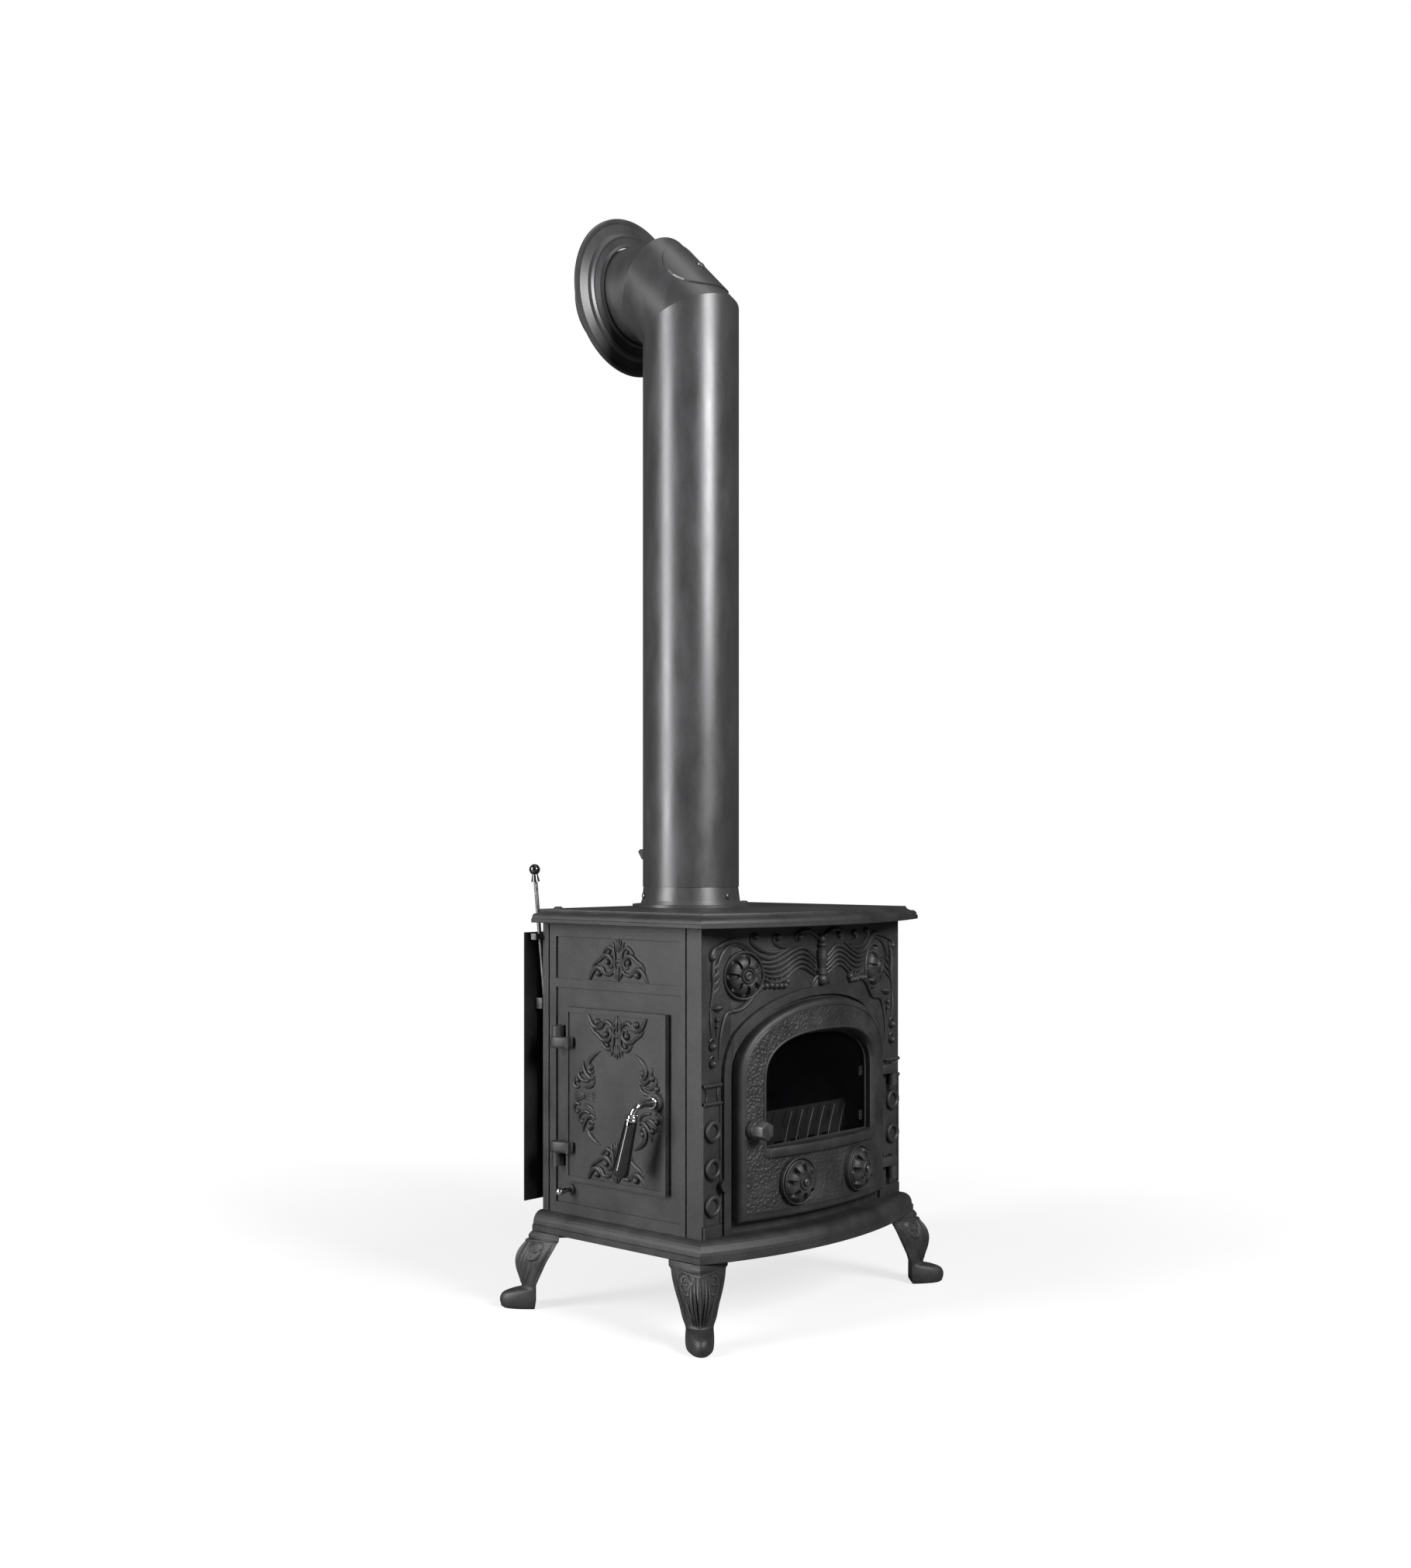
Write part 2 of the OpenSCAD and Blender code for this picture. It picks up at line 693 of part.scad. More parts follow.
module side_panel(s) difference() {
    union() {
        block(min(s * half_w, s * inner_x), max(s * half_w, s * inner_x),
            y_front + front_return, y_back - back_return, z_body, z_top);
        // Ledges under the grate's four corners and along the baffle
        for (e = [[y_front + front_return, y_side_front + side_lap - 3, z_grate - grate_t],
                [y_side_back - side_lap + 3, ledge_end, z_grate - grate_t],
                [y_liner - baffle_d + 10, y_liner - free, z_baffle],
                [y_liner + liner_t + free, ledge_end, z_baffle]])
            block(min(s * inner_x, s * (grate_half_w - 10)), max(s * inner_x, s * (grate_half_w - 10)),
                e[0], e[1], e[2] - ledge_h, e[2]);
    }
    // Rebates that show as joints beside the front and back castings
    for (y = [y_front + front_return, y_back - back_return - rebate])
        block(s * half_w - rebate, s * half_w + rebate, y - eps, y + rebate + eps, z_body - eps, z_top + eps);
    for (f = field_z)
        block(s * half_w - field_sink, s * half_w + field_sink, y_back - field_back - field_len, y_back - field_back,
            z_body + f[0], z_body + f[0] + f[1]);
}

module side_panel_right() color(iron) side_panel(1);

module side_fixed_knuckle(z, h) {
    rod_z(side_knuckle_r, side_hinge_x, side_hinge_y, z, z + h);
    block(side_hinge_x, x_side + field_sink + 2, side_hinge_y - side_knuckle_r, side_hinge_y + side_knuckle_r,
        z, z + h);
}

module side_panel_left() color(iron) difference() {
    union() {
        side_panel(-1);
        side_fixed_knuckle(z_body + side_split[0], side_knuckle_h[0]);
        side_fixed_knuckle(z_body + side_split[1] - side_knuckle_h[1], side_knuckle_h[1]);
        rod_x(8, riddle_y, z_riddle_rod, x_side, -inner_x);
    }
    block(x_side - eps, -inner_x + eps, y_side_front + side_lap, y_side_back - side_lap,
        z_side + side_lap, z_side + side_h - side_lap);
    rod_z(hinge_pin_r + run, side_hinge_x, side_hinge_y, z_body + side_split[1] - side_knuckle_h[1] - eps,
        z_body + side_split[0] + side_knuckle_h[0] + eps);
    rod_x(riddle_r + run, riddle_y, z_riddle_rod, x_side - eps, -inner_x + eps);
}

shield_fixings = [for (s = [-1, 1], z = [spacer_at[1], shield_h - spacer_at[1]]) [s * spacer_at[0], z_shield + z]];

module back_panel() color(iron) difference() {
    union() {
        block(-half_w, half_w, y_back - back_return, y_back, z_body, z_top);
        // Stop that the shutter rests on
        block(port_x - 10, port_x + 10, y_back - 1, y_back + 5, z_port - shutter_lap - free - 5,
            z_port - shutter_lap - free);
    }
    block(-inner_x, inner_x, y_back - back_return - eps, y_back - wall, z_body - eps, z_top + eps);
    block(port_x - port_w / 2, port_x + port_w / 2, y_back - wall - eps, y_back + eps, z_port, z_port + port_h);
    for (f = shield_fixings) rod_y(screw_r + run, f[0], f[1], y_back - wall - eps, y_back + eps);
}

top_profile = concat(
    [[0.8, 0], [0, 0.8], [0, 5.5], [1.5, 6.3]],
    [for (a = [0 : 18 : 90]) [1.5 + 5.5 * (1 - cos(a)), 6.3 + (top_t - 13) * sin(a)]],
    [for (a = [18 : 18 : 90]) [7 + (top_ogee - 7) * sin(a), top_t - 6.7 + 6.7 * (1 - cos(a))]]
);

module top_plate() color(iron) difference() {
    translate([0, 0, z_top]) moulded(top_profile, top_half_w, top_r, y_back, top_t);
    block(-inner_x + 8, inner_x - 8, y_front + wall + 8, y_back - back_return - 10, z_top - eps, z_deck - deck_t);
    rod_z(sleeve_r - sleeve_wall, 0, flue_y, z_top - eps, z_deck + eps);
    for (s = [-1, 1]) rod_z(tie_r + run, s * tie_at[0], tie_at[1], z_top - eps, z_deck + eps);
}

module tie_rods() color(iron) for (s = [-1, 1]) {
    rod_z(tie_r, s * tie_at[0], tie_at[1], z_base + 12, z_deck);
    translate([s * tie_at[0], tie_at[1], z_deck]) pan_head(tie_head_r, tie_head_h);
}

// ---- Flue ----

collar_screw_at = [-90, 30, 150];
z_collar_screw = z_deck + 17;

module flue_collar() color(iron) translate([0, flue_y, 0]) difference() {
    rotate_extrude() polygon([
        [sleeve_r - sleeve_wall, z_deck], [flange_r, z_deck], [flange_r, z_deck + flange_t],
        [pipe_r + 4, z_deck + flange_t], [pipe_r + 1.5, z_deck + flange_t + 6], [pipe_r - 1, z_deck + collar_h],
        [sleeve_r, z_deck + collar_h], [sleeve_r, z_deck + collar_h + collar_sleeve],
        [sleeve_r - sleeve_wall, z_deck + collar_h + collar_sleeve]
    ]);
    for (a = collar_screw_at) rotate([0, 0, a]) translate([0, 0, z_collar_screw]) rotate([0, 90, 0])
        cylinder(r = screw_r + run, h = flange_r);
}

module collar_screws() color(steel) translate([0, flue_y, z_collar_screw]) for (a = collar_screw_at)
    rotate([0, 0, a]) rotate([0, 90, 0]) {
        translate([0, 0, pipe_r + 1.5]) pan_head(screw_r * 1.5, 2.5);
        translate([0, 0, sleeve_r - sleeve_wall]) cylinder(r = screw_r, h = pipe_r + 1.5 - sleeve_r + sleeve_wall);
    }

module flue_pipe() color(pipe_grey) difference() {
    union() {
        difference() {
            rod_z(pipe_r, 0, flue_y, z_deck + collar_h, pipe_top_z);
            rod_z(pipe_r - pipe_wall, 0, flue_y, z_deck + collar_h - eps, pipe_top_z + eps);
        }
        // Bearings of the damper's spindle, on the inner wall
        for (s = [-1, 1]) intersection() {
            rod_y(spindle_r + 3, 0, z_damper, flue_y + s * (pipe_r - 5) - 5, flue_y + s * (pipe_r - 5) + 5);
            rod_z(pipe_r - pipe_wall / 2, 0, flue_y, z_deck + collar_h, pipe_top_z);
        }
    }
    rod_y(spindle_r + run, 0, z_damper, flue_y - pipe_r + pipe_wall, flue_y + pipe_r + eps);
}

// The half space on the near side of an elbow's mitre
module before_mitre(y, z, lean) {
    big = 4 * pipe_r;
    translate([0, flue_y + y, z]) rotate([-lean, 0, 0]) translate([-big, -big, -2 * big]) cube(2 * big);
}

// The elbow's three straight lengths as one solid of radius r, its first end drawn out by overrun
module elbow_core(r, overrun) {
    run_y = elbow_z - mitre_z;
    intersection() {
        rod_z(r, 0, flue_y, pipe_top_z - overrun, mitre_z + 2 * r);
        before_mitre(0, mitre_z, 22.5);
    }
    intersection() {
        translate([0, flue_y, mitre_z]) rotate([-45, 0, 0]) translate([0, 0, -2 * r])
            cylinder(r = r, h = run_y * sqrt(2) + 4 * r);
        difference() {
            before_mitre(run_y, elbow_z, 67.5);
            before_mitre(0, mitre_z, 22.5);
        }
    }
    difference() {
        rod_y(r, 0, elbow_z, flue_y + run_y - 2 * r, y_wall);
        before_mitre(run_y, elbow_z, 67.5);
    }
}

module flue_elbow() color(pipe_grey) difference() {
    union() {
        elbow_core(pipe_r, 0);
        rod_z(sleeve_r, 0, flue_y, pipe_top_z - sleeve_len, pipe_top_z + 2);
        rod_y(stub_r, 0, elbow_z, y_wall - 2, y_wall + stub_len);
    }
    elbow_core(pipe_r - pipe_wall, -5);
    rod_z(sleeve_r - sleeve_wall + 1, 0, flue_y, pipe_top_z - sleeve_len - eps, pipe_top_z + 5 + eps);
    rod_y(pipe_r - pipe_wall, 0, elbow_z, y_wall - 5, y_wall + stub_len + eps);
    at_hatch() translate([0, 0, pipe_r - 3 * pipe_wall]) cylinder(r = screw_r + run, h = 4 * pipe_wall);
}

// The middle of the elbow's slanted length, +Z pointing out of its upper side
module at_hatch() {
    run_y = elbow_z - mitre_z;
    translate([0, flue_y + run_y / 2, mitre_z + run_y / 2]) rotate([45, 0, 0]) children();
}

module elbow_hatch_cover() color(pipe_grey) at_hatch() difference() {
    intersection() {
        rotate([90, 0, 0]) difference() {
            cylinder(r = pipe_r + 2.2, h = 3 * pipe_r, center = true);
            cylinder(r = pipe_r + 0.2, h = 4 * pipe_r, center = true);
        }
        linear_extrude(pipe_r + 5) polygon(oval(pipe_r - 20, pipe_r - 17));
    }
    cylinder(r = screw_r + run, h = pipe_r + 5);
}

module hatch_screw() color(steel) at_hatch() {
    translate([0, 0, pipe_r - pipe_wall - 2]) cylinder(r = screw_r, h = pipe_wall + 5);
    translate([0, 0, pipe_r + 2.6]) pan_head(7, 3);
}

module wall_rosette() color(pipe_grey) translate([0, y_wall, elbow_z]) rotate([90, 0, 0]) {
    neck = pipe_r + rosette_gap;
    rotate_extrude() polygon([
        [rosette_r - 4, 0], [rosette_r, 0], [rosette_r, 2.5], [rosette_r - 2, 4.5], [rosette_r - 6, 4.5],
        [rosette_r - 9, 3.5], [dish_r + 11, 8], [dish_r + 8, 12], [dish_r + 4, 14],
        [dish_r, 13], [neck + 5, 14.5], [neck + 2, 18], [neck, 18], [neck, 11], [dish_r + 3, 11],
        [dish_r + 7, 8], [dish_r + 10, 5.5], [rosette_r - 9, 1.5]
    ]);
    // Spring tabs that hold the rosette on the pipe
    for (a = [60, 180, 300]) rotate([0, 0, a]) translate([pipe_r + lay, -6, 12]) cube([rosette_gap + 1, 12, 2]);
}

module damper_disc() color(steel) translate([0, flue_y, z_damper]) difference() {
    union() {
        translate([spindle_r + 0.2, 0, 0]) rotate([0, 90, 0]) cylinder(r = damper_r, h = 2);
        for (y = [-35, 35]) translate([-spindle_r - 3, y - 6, -spindle_r - 3])
            cube([2 * spindle_r + 4, 12, 2 * spindle_r + 6]);
    }
    translate([0, damper_r + eps, 0]) rotate([90, 0, 0]) cylinder(r = spindle_r + run, h = 2 * damper_r + 2 * eps);
}

module damper_spindle() color(iron) {
    rod_y(spindle_r, 0, z_damper, flue_y - pipe_r + pipe_wall + 1, flue_y + pipe_r + 20);
    along_x(-1.5, 1.5) polygon([
        [flue_y + pipe_r + 14, z_damper - 5], [flue_y + pipe_r + 14, z_damper + 5],
        [flue_y + pipe_r + 34, z_damper + 4], [flue_y + pipe_r + 38, z_damper], [flue_y + pipe_r + 30, z_damper - 12]
    ]);
}

// ---- Front door ----

module hinge_lug(z, h) {
    rod_z(knuckle_r, hinge_x, hinge_y, z, z + h);
    block(door_half_w - 4, hinge_x, hinge_y - knuckle_r, hinge_y + 2.5, z, z + h);
}

module spinner_at(s) {
    on_bow(s * spinner_x, z_spinner, door_r) children();
}

module spinner_holes(r) {
    for (a = [22.5 : 90 : 292.5]) rotate([0, 0, a]) translate([spinner_hole_pcr, 0, -20]) cylinder(r = r, h = 45);
}

module front_door() color(iron) difference() {
    union() {
        difference() {
            intersection() {
                along_y(y_front - bow_out - 3 * door_out, y_front + wall) polygon(door_arch(0));
                bow_band(door_back_r, door_r, z_body, z_top);
            }
            intersection() {
                along_y(y_front - bow_out - 3 * door_out, y_front + wall) polygon(door_arch(door_rim));
                bow_band(door_back_r - 20, door_r - door_shell, z_body, z_top);
            }
        }
        // Frame that the glass lies on
        intersection() {
            along_y(y_front - bow_out - 3 * door_out, glass_y)
                polygon(window_arch(frame_w));
            bow_band(door_back_r - 40, door_r, z_body, z_top);
        }
        // Sill
        intersection() {
            block(-window_half_w - 12, window_half_w + 12, y_front - bow_out - 3 * door_out, glass_y,
                z_sill - 10, z_sill - 2);
            bow_band(door_r - 3, door_r + 4, z_body, z_top);
        }
        for (i = [0, 1]) hinge_lug(z_body + hinge_split[i] + 0.3, lug_h[i] - 0.3);
        for (s = [-1, 1]) spinner_at(s) translate([0, 0, -4]) {
            cylinder(r = spinner_r, h = seat_h + 4 - 2);
            cylinder(r = spinner_r - 2, h = seat_h + 4);
        }
        rod_y(latch_shaft_r + 3, -latch_x, z_latch, latch_seat_y + 2, y_front - 1.5);
        rod_y(latch_collar_r + 1, -latch_x, z_latch, latch_seat_y, latch_seat_y + 9);
    }
    // Window, bevelled from the front
    along_y(y_front - bow_out - 3 * door_out, glass_y + eps) polygon(window_arch(0));
    hull() {
        along_y(y_front - bow_out - door_out - 9, y_front - bow_out - door_out - 8)
            polygon(window_arch(window_bevel + 4));
        along_y(glass_y - 8, glass_y - 7) polygon(window_arch(0));
    }
    for (i = [0, 1]) rod_z(hinge_pin_r + run, hinge_x, hinge_y, z_body + hinge_split[i] - eps,
        z_body + hinge_split[i] + lug_h[i] + eps);
    rod_y(latch_shaft_r + run, -latch_x, z_latch, y_front - 60, y_front + wall);
    for (s = [-1, 1]) spinner_at(s) {
        spinner_holes(spinner_hole_r);
        translate([0, 0, -20]) cylinder(r = stud_r + run, h = 45);
    }
    for (c = clip_places) rod_y(2 + run, c[0], c[1], glass_y - 9, glass_y + eps);
}

// Where the glass clips are screwed: sideways and up
clip_places = [for (s = [-1, 1], z = [z_sill + 18, z_window_spring - 6]) [s * (window_half_w + frame_w - 7), z]];

module door_glass() color("#15161a", 0.6) along_y(glass_y + gasket_t, glass_y + gasket_t + glass_t)
    polygon(window_arch(glass_lap));

module glass_gasket() color(rope) along_y(glass_y, glass_y + gasket_t)
    arch_ring(window_arch(glass_lap), window_arch(0));

module glass_clips() color(steel) for (c = clip_places) difference() {
    union() {
        block(c[0] - 5, c[0] + 5, glass_y, glass_y + gasket_t + glass_t + clip_t, c[1] - clip_h / 2, c[1] + clip_h / 2);
        block(min(c[0], c[0] - sign(c[0]) * 16), max(c[0], c[0] - sign(c[0]) * 16),
            glass_y + gasket_t + glass_t, glass_y + gasket_t + glass_t + clip_t, c[1] - clip_h / 2, c[1] + clip_h / 2);
    }
    rod_y(2 + run, c[0], c[1], glass_y - eps, glass_y + gasket_t + glass_t + clip_t + eps);
    block(-glass_half_w - lay, glass_half_w + lay, glass_y - eps, glass_y + gasket_t + glass_t, z_body, z_top);
}

module clip_screws() color(steel) for (c = clip_places) {
    rod_y(2, c[0], c[1], glass_y - 7, glass_y + gasket_t + glass_t + clip_t);
    rod_y(3.5, c[0], c[1], glass_y + gasket_t + glass_t + clip_t, glass_y + gasket_t + glass_t + clip_t + 2);
}

module front_door_seal() color(rope) intersection() {
    along_y(y_front - bow_out - 3 * door_out, y_front + wall)
        arch_ring(door_arch(door_rim + 0.2), door_arch(door_rim + seal_w));
    bow_band(bow_r + lay, door_r - door_shell - 0.1, z_body, z_top);
}

module front_hinge_pins() color(bright) for (i = [0, 1]) {
    rod_z(hinge_pin_r, hinge_x, hinge_y, z_body + hinge_split[i] - knuckle_h[i],
        z_body + hinge_split[i] + lug_h[i] + 0.3);
    rod_z(hinge_pin_r + 1.5, hinge_x, hinge_y, z_body + hinge_split[i] + lug_h[i] + 0.3,
        z_body + hinge_split[i] + lug_h[i] + 0.3 + pin_head_h - 1);
}

module latch_knob() color(bright) {
    knob_y = latch_seat_y - free;
    rod_y(latch_shaft_r, -latch_x, z_latch, knob_y - eps, tongue_y + tongue_t + 2);
    rod_y(latch_collar_r, -latch_x, z_latch, knob_y - collar_len, knob_y);
    translate([-latch_x, knob_y - collar_len, z_latch]) rotate([90, 0, 0])
        cylinder(r = hex_af / 2 / cos(30), h = hex_len, $fn = 6);
}

module latch_tongue() color(steel) difference() {
    union() {
        rod_y(latch_shaft_r + 2.5, -latch_x, z_latch, tongue_y, tongue_y + tongue_t);
        block(-latch_x - tongue_w / 2, -latch_x + tongue_w / 2, tongue_y, tongue_y + tongue_t,
            z_latch - tongue_len, z_latch);
    }
    rod_y(latch_shaft_r + run, -latch_x, z_latch, tongue_y - eps, tongue_y + tongue_t + eps);
}

module air_spinner(s) color(iron) spinner_at(s) difference() {
    union() {
        translate([0, 0, seat_h + lay]) cylinder(r = spinner_disc_r, h = 3);
        translate([0, 0, seat_h + lay + 2.5]) fluted_dome(spinner_disc_r - 6, spinner_dome_h);
    }
    spinner_holes(spinner_hole_r);
    translate([0, 0, -1]) cylinder(r = stud_r + run, h = 40);
}

module air_spinner_left() air_spinner(-1);
module air_spinner_right() air_spinner(1);

module spinner_studs() color(iron) for (s = [-1, 1]) spinner_at(s) {
    translate([0, 0, -door_shell - 2]) cylinder(r = stud_r, h = door_shell + 2 + spinner_top + 1);
    translate([0, 0, spinner_top + free]) pan_head(stud_r + 2, 2.5);
    translate([0, 0, -door_shell - 3]) cylinder(r = stud_r * 1.8, h = 3 - 0.2, $fn = 6);
}

// ---- Side door ----

module side_door() color(iron) difference() {
    union() {
        block(x_side - side_out, side_back_x, y_side_front, y_side_back, z_side, z_side + side_h);
        for (i = [0, 1]) side_strap(i);
        rod_x(13, handle_y, z_handle, x_side - side_out - 6, x_side - side_out + 1);
    }
    // Sunken face and the hollow behind it
    difference() {
        block(x_side - side_out - eps, x_side - side_out + 2, y_side_front + 7, y_side_back - 5,
            z_side + 7, z_side + side_h - 7);
        rod_x(13, handle_y, z_handle, x_side - side_out - 6, x_side);
    }
    difference() {
        block(x_side - side_out + 2 + side_face_t, side_back_x + eps, y_side_front + side_rim,
            y_side_back - side_rim, z_side + side_rim, z_side + side_h - side_rim);
        rod_x(handle_in - 1, handle_y, z_handle, x_side - side_out, side_back_x + 2 * eps);
    }
    rod_x(latch_shaft_r + run, handle_y, z_handle, x_side - side_out - 20, side_back_x + 5);
    rod_z(hinge_pin_r + run, side_hinge_x, side_hinge_y, z_body, z_top);
}

// A strap that carries the side door on its hinge, below or above its fixed knuckle
module side_strap(i) {
    z = z_body + (i == 0 ? side_split[0] - side_strap_h : side_split[1] + 0.3);
    rod_z(side_knuckle_r - 0.5, side_hinge_x, side_hinge_y, z, z + side_strap_h - 0.3);
    block(side_hinge_x - 4, x_side - side_out + 3, y_side_back - 14, side_hinge_y, z, z + side_strap_h - 0.3);
}

module side_door_seal() color(rope) difference() {
    block(x_side - side_out + 2 + side_face_t + 0.1, x_side + field_sink - lay, y_side_front + side_rim + 0.2,
        y_side_back - side_rim - 0.2, z_side + side_rim + 0.2, z_side + side_h - side_rim - 0.2);
    block(x_side - side_out, x_side + 2 * field_sink + eps, y_side_front + side_lap - 0.5,
        y_side_back - side_lap + 0.5, z_side + side_lap - 0.5, z_side + side_h - side_lap + 0.5);
}

module side_hinge_pins() color(bright) {
    for (z = [side_split[0] - side_strap_h + 1, side_split[1] - side_knuckle_h[1] + 1])
        rod_z(hinge_pin_r, side_hinge_x, side_hinge_y, z_body + z, z_body + z + side_strap_h + side_knuckle_h[0] - 2);
}

// The handle bends down at its elbow and leans back
elbow_x = x_side - grip_out + 9;
grip_dir = [0, sin(grip_lean), -cos(grip_lean)];
grip_start = [x_side - grip_out, handle_y, z_handle] + 13 * grip_dir;

module along_grip(start) {
    translate(grip_start + start * grip_dir) rotate([180 + grip_lean, 0, 0]) children();
}

module side_handle_arm() color(bright) {
    rod_x(latch_shaft_r, handle_y, z_handle, x_side - side_out - 7, -inner_x + 0.6 + tongue_t + 2);
    rod_x(9, handle_y, z_handle, x_side - side_out - 11, x_side - side_out - 6.4);
    rod_x(arm_r, handle_y, z_handle, elbow_x, x_side - side_out - 10);
    translate([elbow_x, handle_y, z_handle]) sphere(r = arm_r + 0.4);
    translate(grip_start) sphere(r = arm_r + 0.3);
    // From the bend down to the ferrule
    d = grip_start - [elbow_x, handle_y, z_handle];
    translate([elbow_x, handle_y, z_handle]) rotate([0, acos(d[2] / norm(d)), atan2(d[1], d[0])])
        cylinder(r = arm_r, h = norm(d));
    along_grip(-1) cylinder(r = arm_r, h = 10);
}

module side_handle_ferrule() color(bright) difference() {
    along_grip(2) cylinder(r1 = arm_r + 1.5, r2 = grip_r_top, h = 7);
    along_grip(-2) cylinder(r = arm_r + 0.3 + run, h = 14);
}

module side_handle_grip() color(gloss_black) along_grip(9.05) difference() {
    rotate_extrude() polygon(concat(
        [[0, 0], [grip_r_top, 0], [grip_r_top + 0.5, 12]],
        [[grip_r_end - 1, grip_len * 0.6]],
        [for (a = [0 : 15 : 90]) [grip_r_end * cos(a), grip_len - grip_r_end + grip_r_end * sin(a)]]
    ));
    translate([0, 0, -1]) cylinder(r = 3, h = 8);
}

module side_latch_tongue() color(steel) difference() {
    union() {
        rod_x(handle_in - 2, handle_y, z_handle, -inner_x + 0.6, -inner_x + 0.6 + tongue_t);
        block(-inner_x + 0.6, -inner_x + 0.6 + tongue_t, handle_y - 5, handle_y + 5, z_handle - tongue_len, z_handle);
    }
    rod_x(latch_shaft_r + run, handle_y, z_handle, -inner_x, -inner_x + 10);
}

// ---- Inside ----

riddle_slots = [for (y = [riddle_y0 + 12 : slot_pitch : riddle_y1 - 8]) y];

module fire_grate() color(iron) difference() {
    union() {
        block(-grate_half_w, grate_half_w, grate_y0, grate_y1, z_grate - grate_t, z_grate);
        // Runners that carry the riddling plate
        for (s = [-1, 1]) {
            y = s < 0 ? riddle_y0 : riddle_y1;
            block(-riddle_half_w, riddle_half_w, min(y + s * free, y + s * (free + 5)), max(y + s * free, y + s * (free + 5)),
                z_riddle_top - riddle_t - lay - 3, z_grate - grate_t);
            block(-riddle_half_w, riddle_half_w, min(y - s * 4, y + s * (free + 5)), max(y - s * 4, y + s * (free + 5)),
                z_riddle_top - riddle_t - lay - 3, z_riddle_top - riddle_t - lay);
        }
    }
    for (y = [grate_y0 + 14 : slot_pitch : grate_y1 - 12], s = [-1, 1])
        if (y < riddle_y0 - 8)
            block(s * slot_x - slot_half, s * slot_x + slot_half, y - slot_w / 2, y + slot_w / 2, z_grate - grate_t - eps, z_grate + eps);
    for (y = riddle_slots, s = [-1, 1]) if (y < y_liner - 8)
        block(s * slot_x - slot_half, s * slot_x + slot_half, y - slot_w / 2, y + slot_w / 2, z_grate - grate_t - eps, z_grate + eps);
}

module riddle_plate() color(iron) difference() {
    union() {
        block(-riddle_half_w, riddle_half_w, riddle_y0, riddle_y1, z_riddle_top - riddle_t, z_riddle_top);
        for (y = riddle_slots, x = [-50, 40]) if (y < y_liner - 8)
            rod_z(2.5, x, y, z_riddle_top - 1, z_grate - 2);
    }
    for (y = riddle_slots) if (y < riddle_y1 - slot_pitch)
        block(-58, 58, y + slot_pitch / 2 - 4, y + slot_pitch / 2 + 4, z_riddle_top - riddle_t - eps, z_riddle_top + eps);
}

// Arm under the plate, down to the rod
module riddle_arm() color(iron) difference() {
    block(-riddle_half_w, -riddle_half_w + 12, riddle_y - 8, riddle_y1 - 4 - free, z_riddle_rod - 7,
        z_riddle_top - riddle_t);
    rod_x(riddle_r - 1 + run, riddle_y, z_riddle_rod, -riddle_half_w - eps, -riddle_half_w + 12 + eps);
}

riddle_end_x = x_side - 19;

module riddle_rod() color(bright) {
    rod_x(riddle_r, riddle_y, z_riddle_rod, riddle_end_x, -riddle_half_w);
    rod_x(riddle_r - 1, riddle_y, z_riddle_rod, -riddle_half_w, -riddle_half_w + 11);
}

// Turned knob, bored for the rod: its profile as radius and height above the neck's foot
module riddle_knob() color(bright) translate([riddle_end_x + 8, riddle_y, z_riddle_rod]) rotate([0, -90, 0])
    rotate_extrude() polygon(concat(
        [[riddle_r + run, 0], [riddle_r + 1.5, 0], [riddle_r + 1.5, 5]],
        [for (a = [-40 : 13 : 77]) [(riddle_r + 3) * cos(a), 10 + (riddle_r + 3) * sin(a)]],
        [[0, 13 + riddle_r], [0, 8.1], [riddle_r + run, 8.1]]
    ));

module ash_pan() color(steel) difference() {
    union() {
        block(-pan_half_w, pan_half_w, pan_y0, pan_y1, z_pan, z_pan + pan_h);
        block(-30, 30, pan_y0 - 7, pan_y0, z_pan + pan_h - 10, z_pan + pan_h - 8);
    }
    block(-pan_half_w + pan_wall, pan_half_w - pan_wall, pan_y0 + pan_wall, pan_y1 - pan_wall,
        z_pan + pan_wall, z_pan + pan_h + eps);
}

module log_guard() color(liner_grey) {
    y = grate_y0 + 8;
    difference() {
        block(-guard_half_w, guard_half_w, y, y + 5, z_grate, z_grate + guard_h);
        for (x = [-guard_half_w + 30 : 38 : guard_half_w - 30])
            block(x - 10, x + 10, y - eps, y + 6, z_grate + 12, z_grate + 24);
    }
    intersection() {
        for (x = [-guard_half_w + 4 : 27 : guard_half_w - 10])
            translate([x, y - 2, z_grate + 42]) rotate([0, 22, 0]) cube([4, 4, guard_h]);
        block(-guard_half_w, guard_half_w, y - 2, y + 2, z_grate + 45, z_grate + guard_h - 3);
    }
}

module rear_liner() color(liner_grey) difference() {
    block(-liner_half_w, liner_half_w, y_liner, y_liner + liner_t, z_grate, z_baffle);
    for (x = [-liner_half_w + 35 : 45 : liner_half_w - 35], z = [133, 168, 203])
        block(x - 7, x + 7, y_liner - eps, y_liner + liner_t + eps, z_body + z - 5.5, z_body + z + 5.5);
}

module baffle_plate() color(iron)
    block(-grate_half_w + 5, grate_half_w - 5, y_liner - baffle_d, y_back - wall - 0.5, z_baffle, z_baffle + 8);

// ---- Back ----

module heat_shield() color(shield_black) difference() {
    block(-shield_half_w, shield_half_w, y_shield, y_shield + shield_t, z_shield, z_shield + shield_h);
    for (f = shield_fixings) rod_y(screw_r + run, f[0], f[1], y_shield - eps, y_shield + shield_t + eps);
}

module shield_spacers() color(steel) for (f = shield_fixings) difference() {
    rod_y(spacer_r, f[0], f[1], y_back, y_shield);
    rod_y(screw_r + run, f[0], f[1], y_back - eps, y_shield + eps);
}

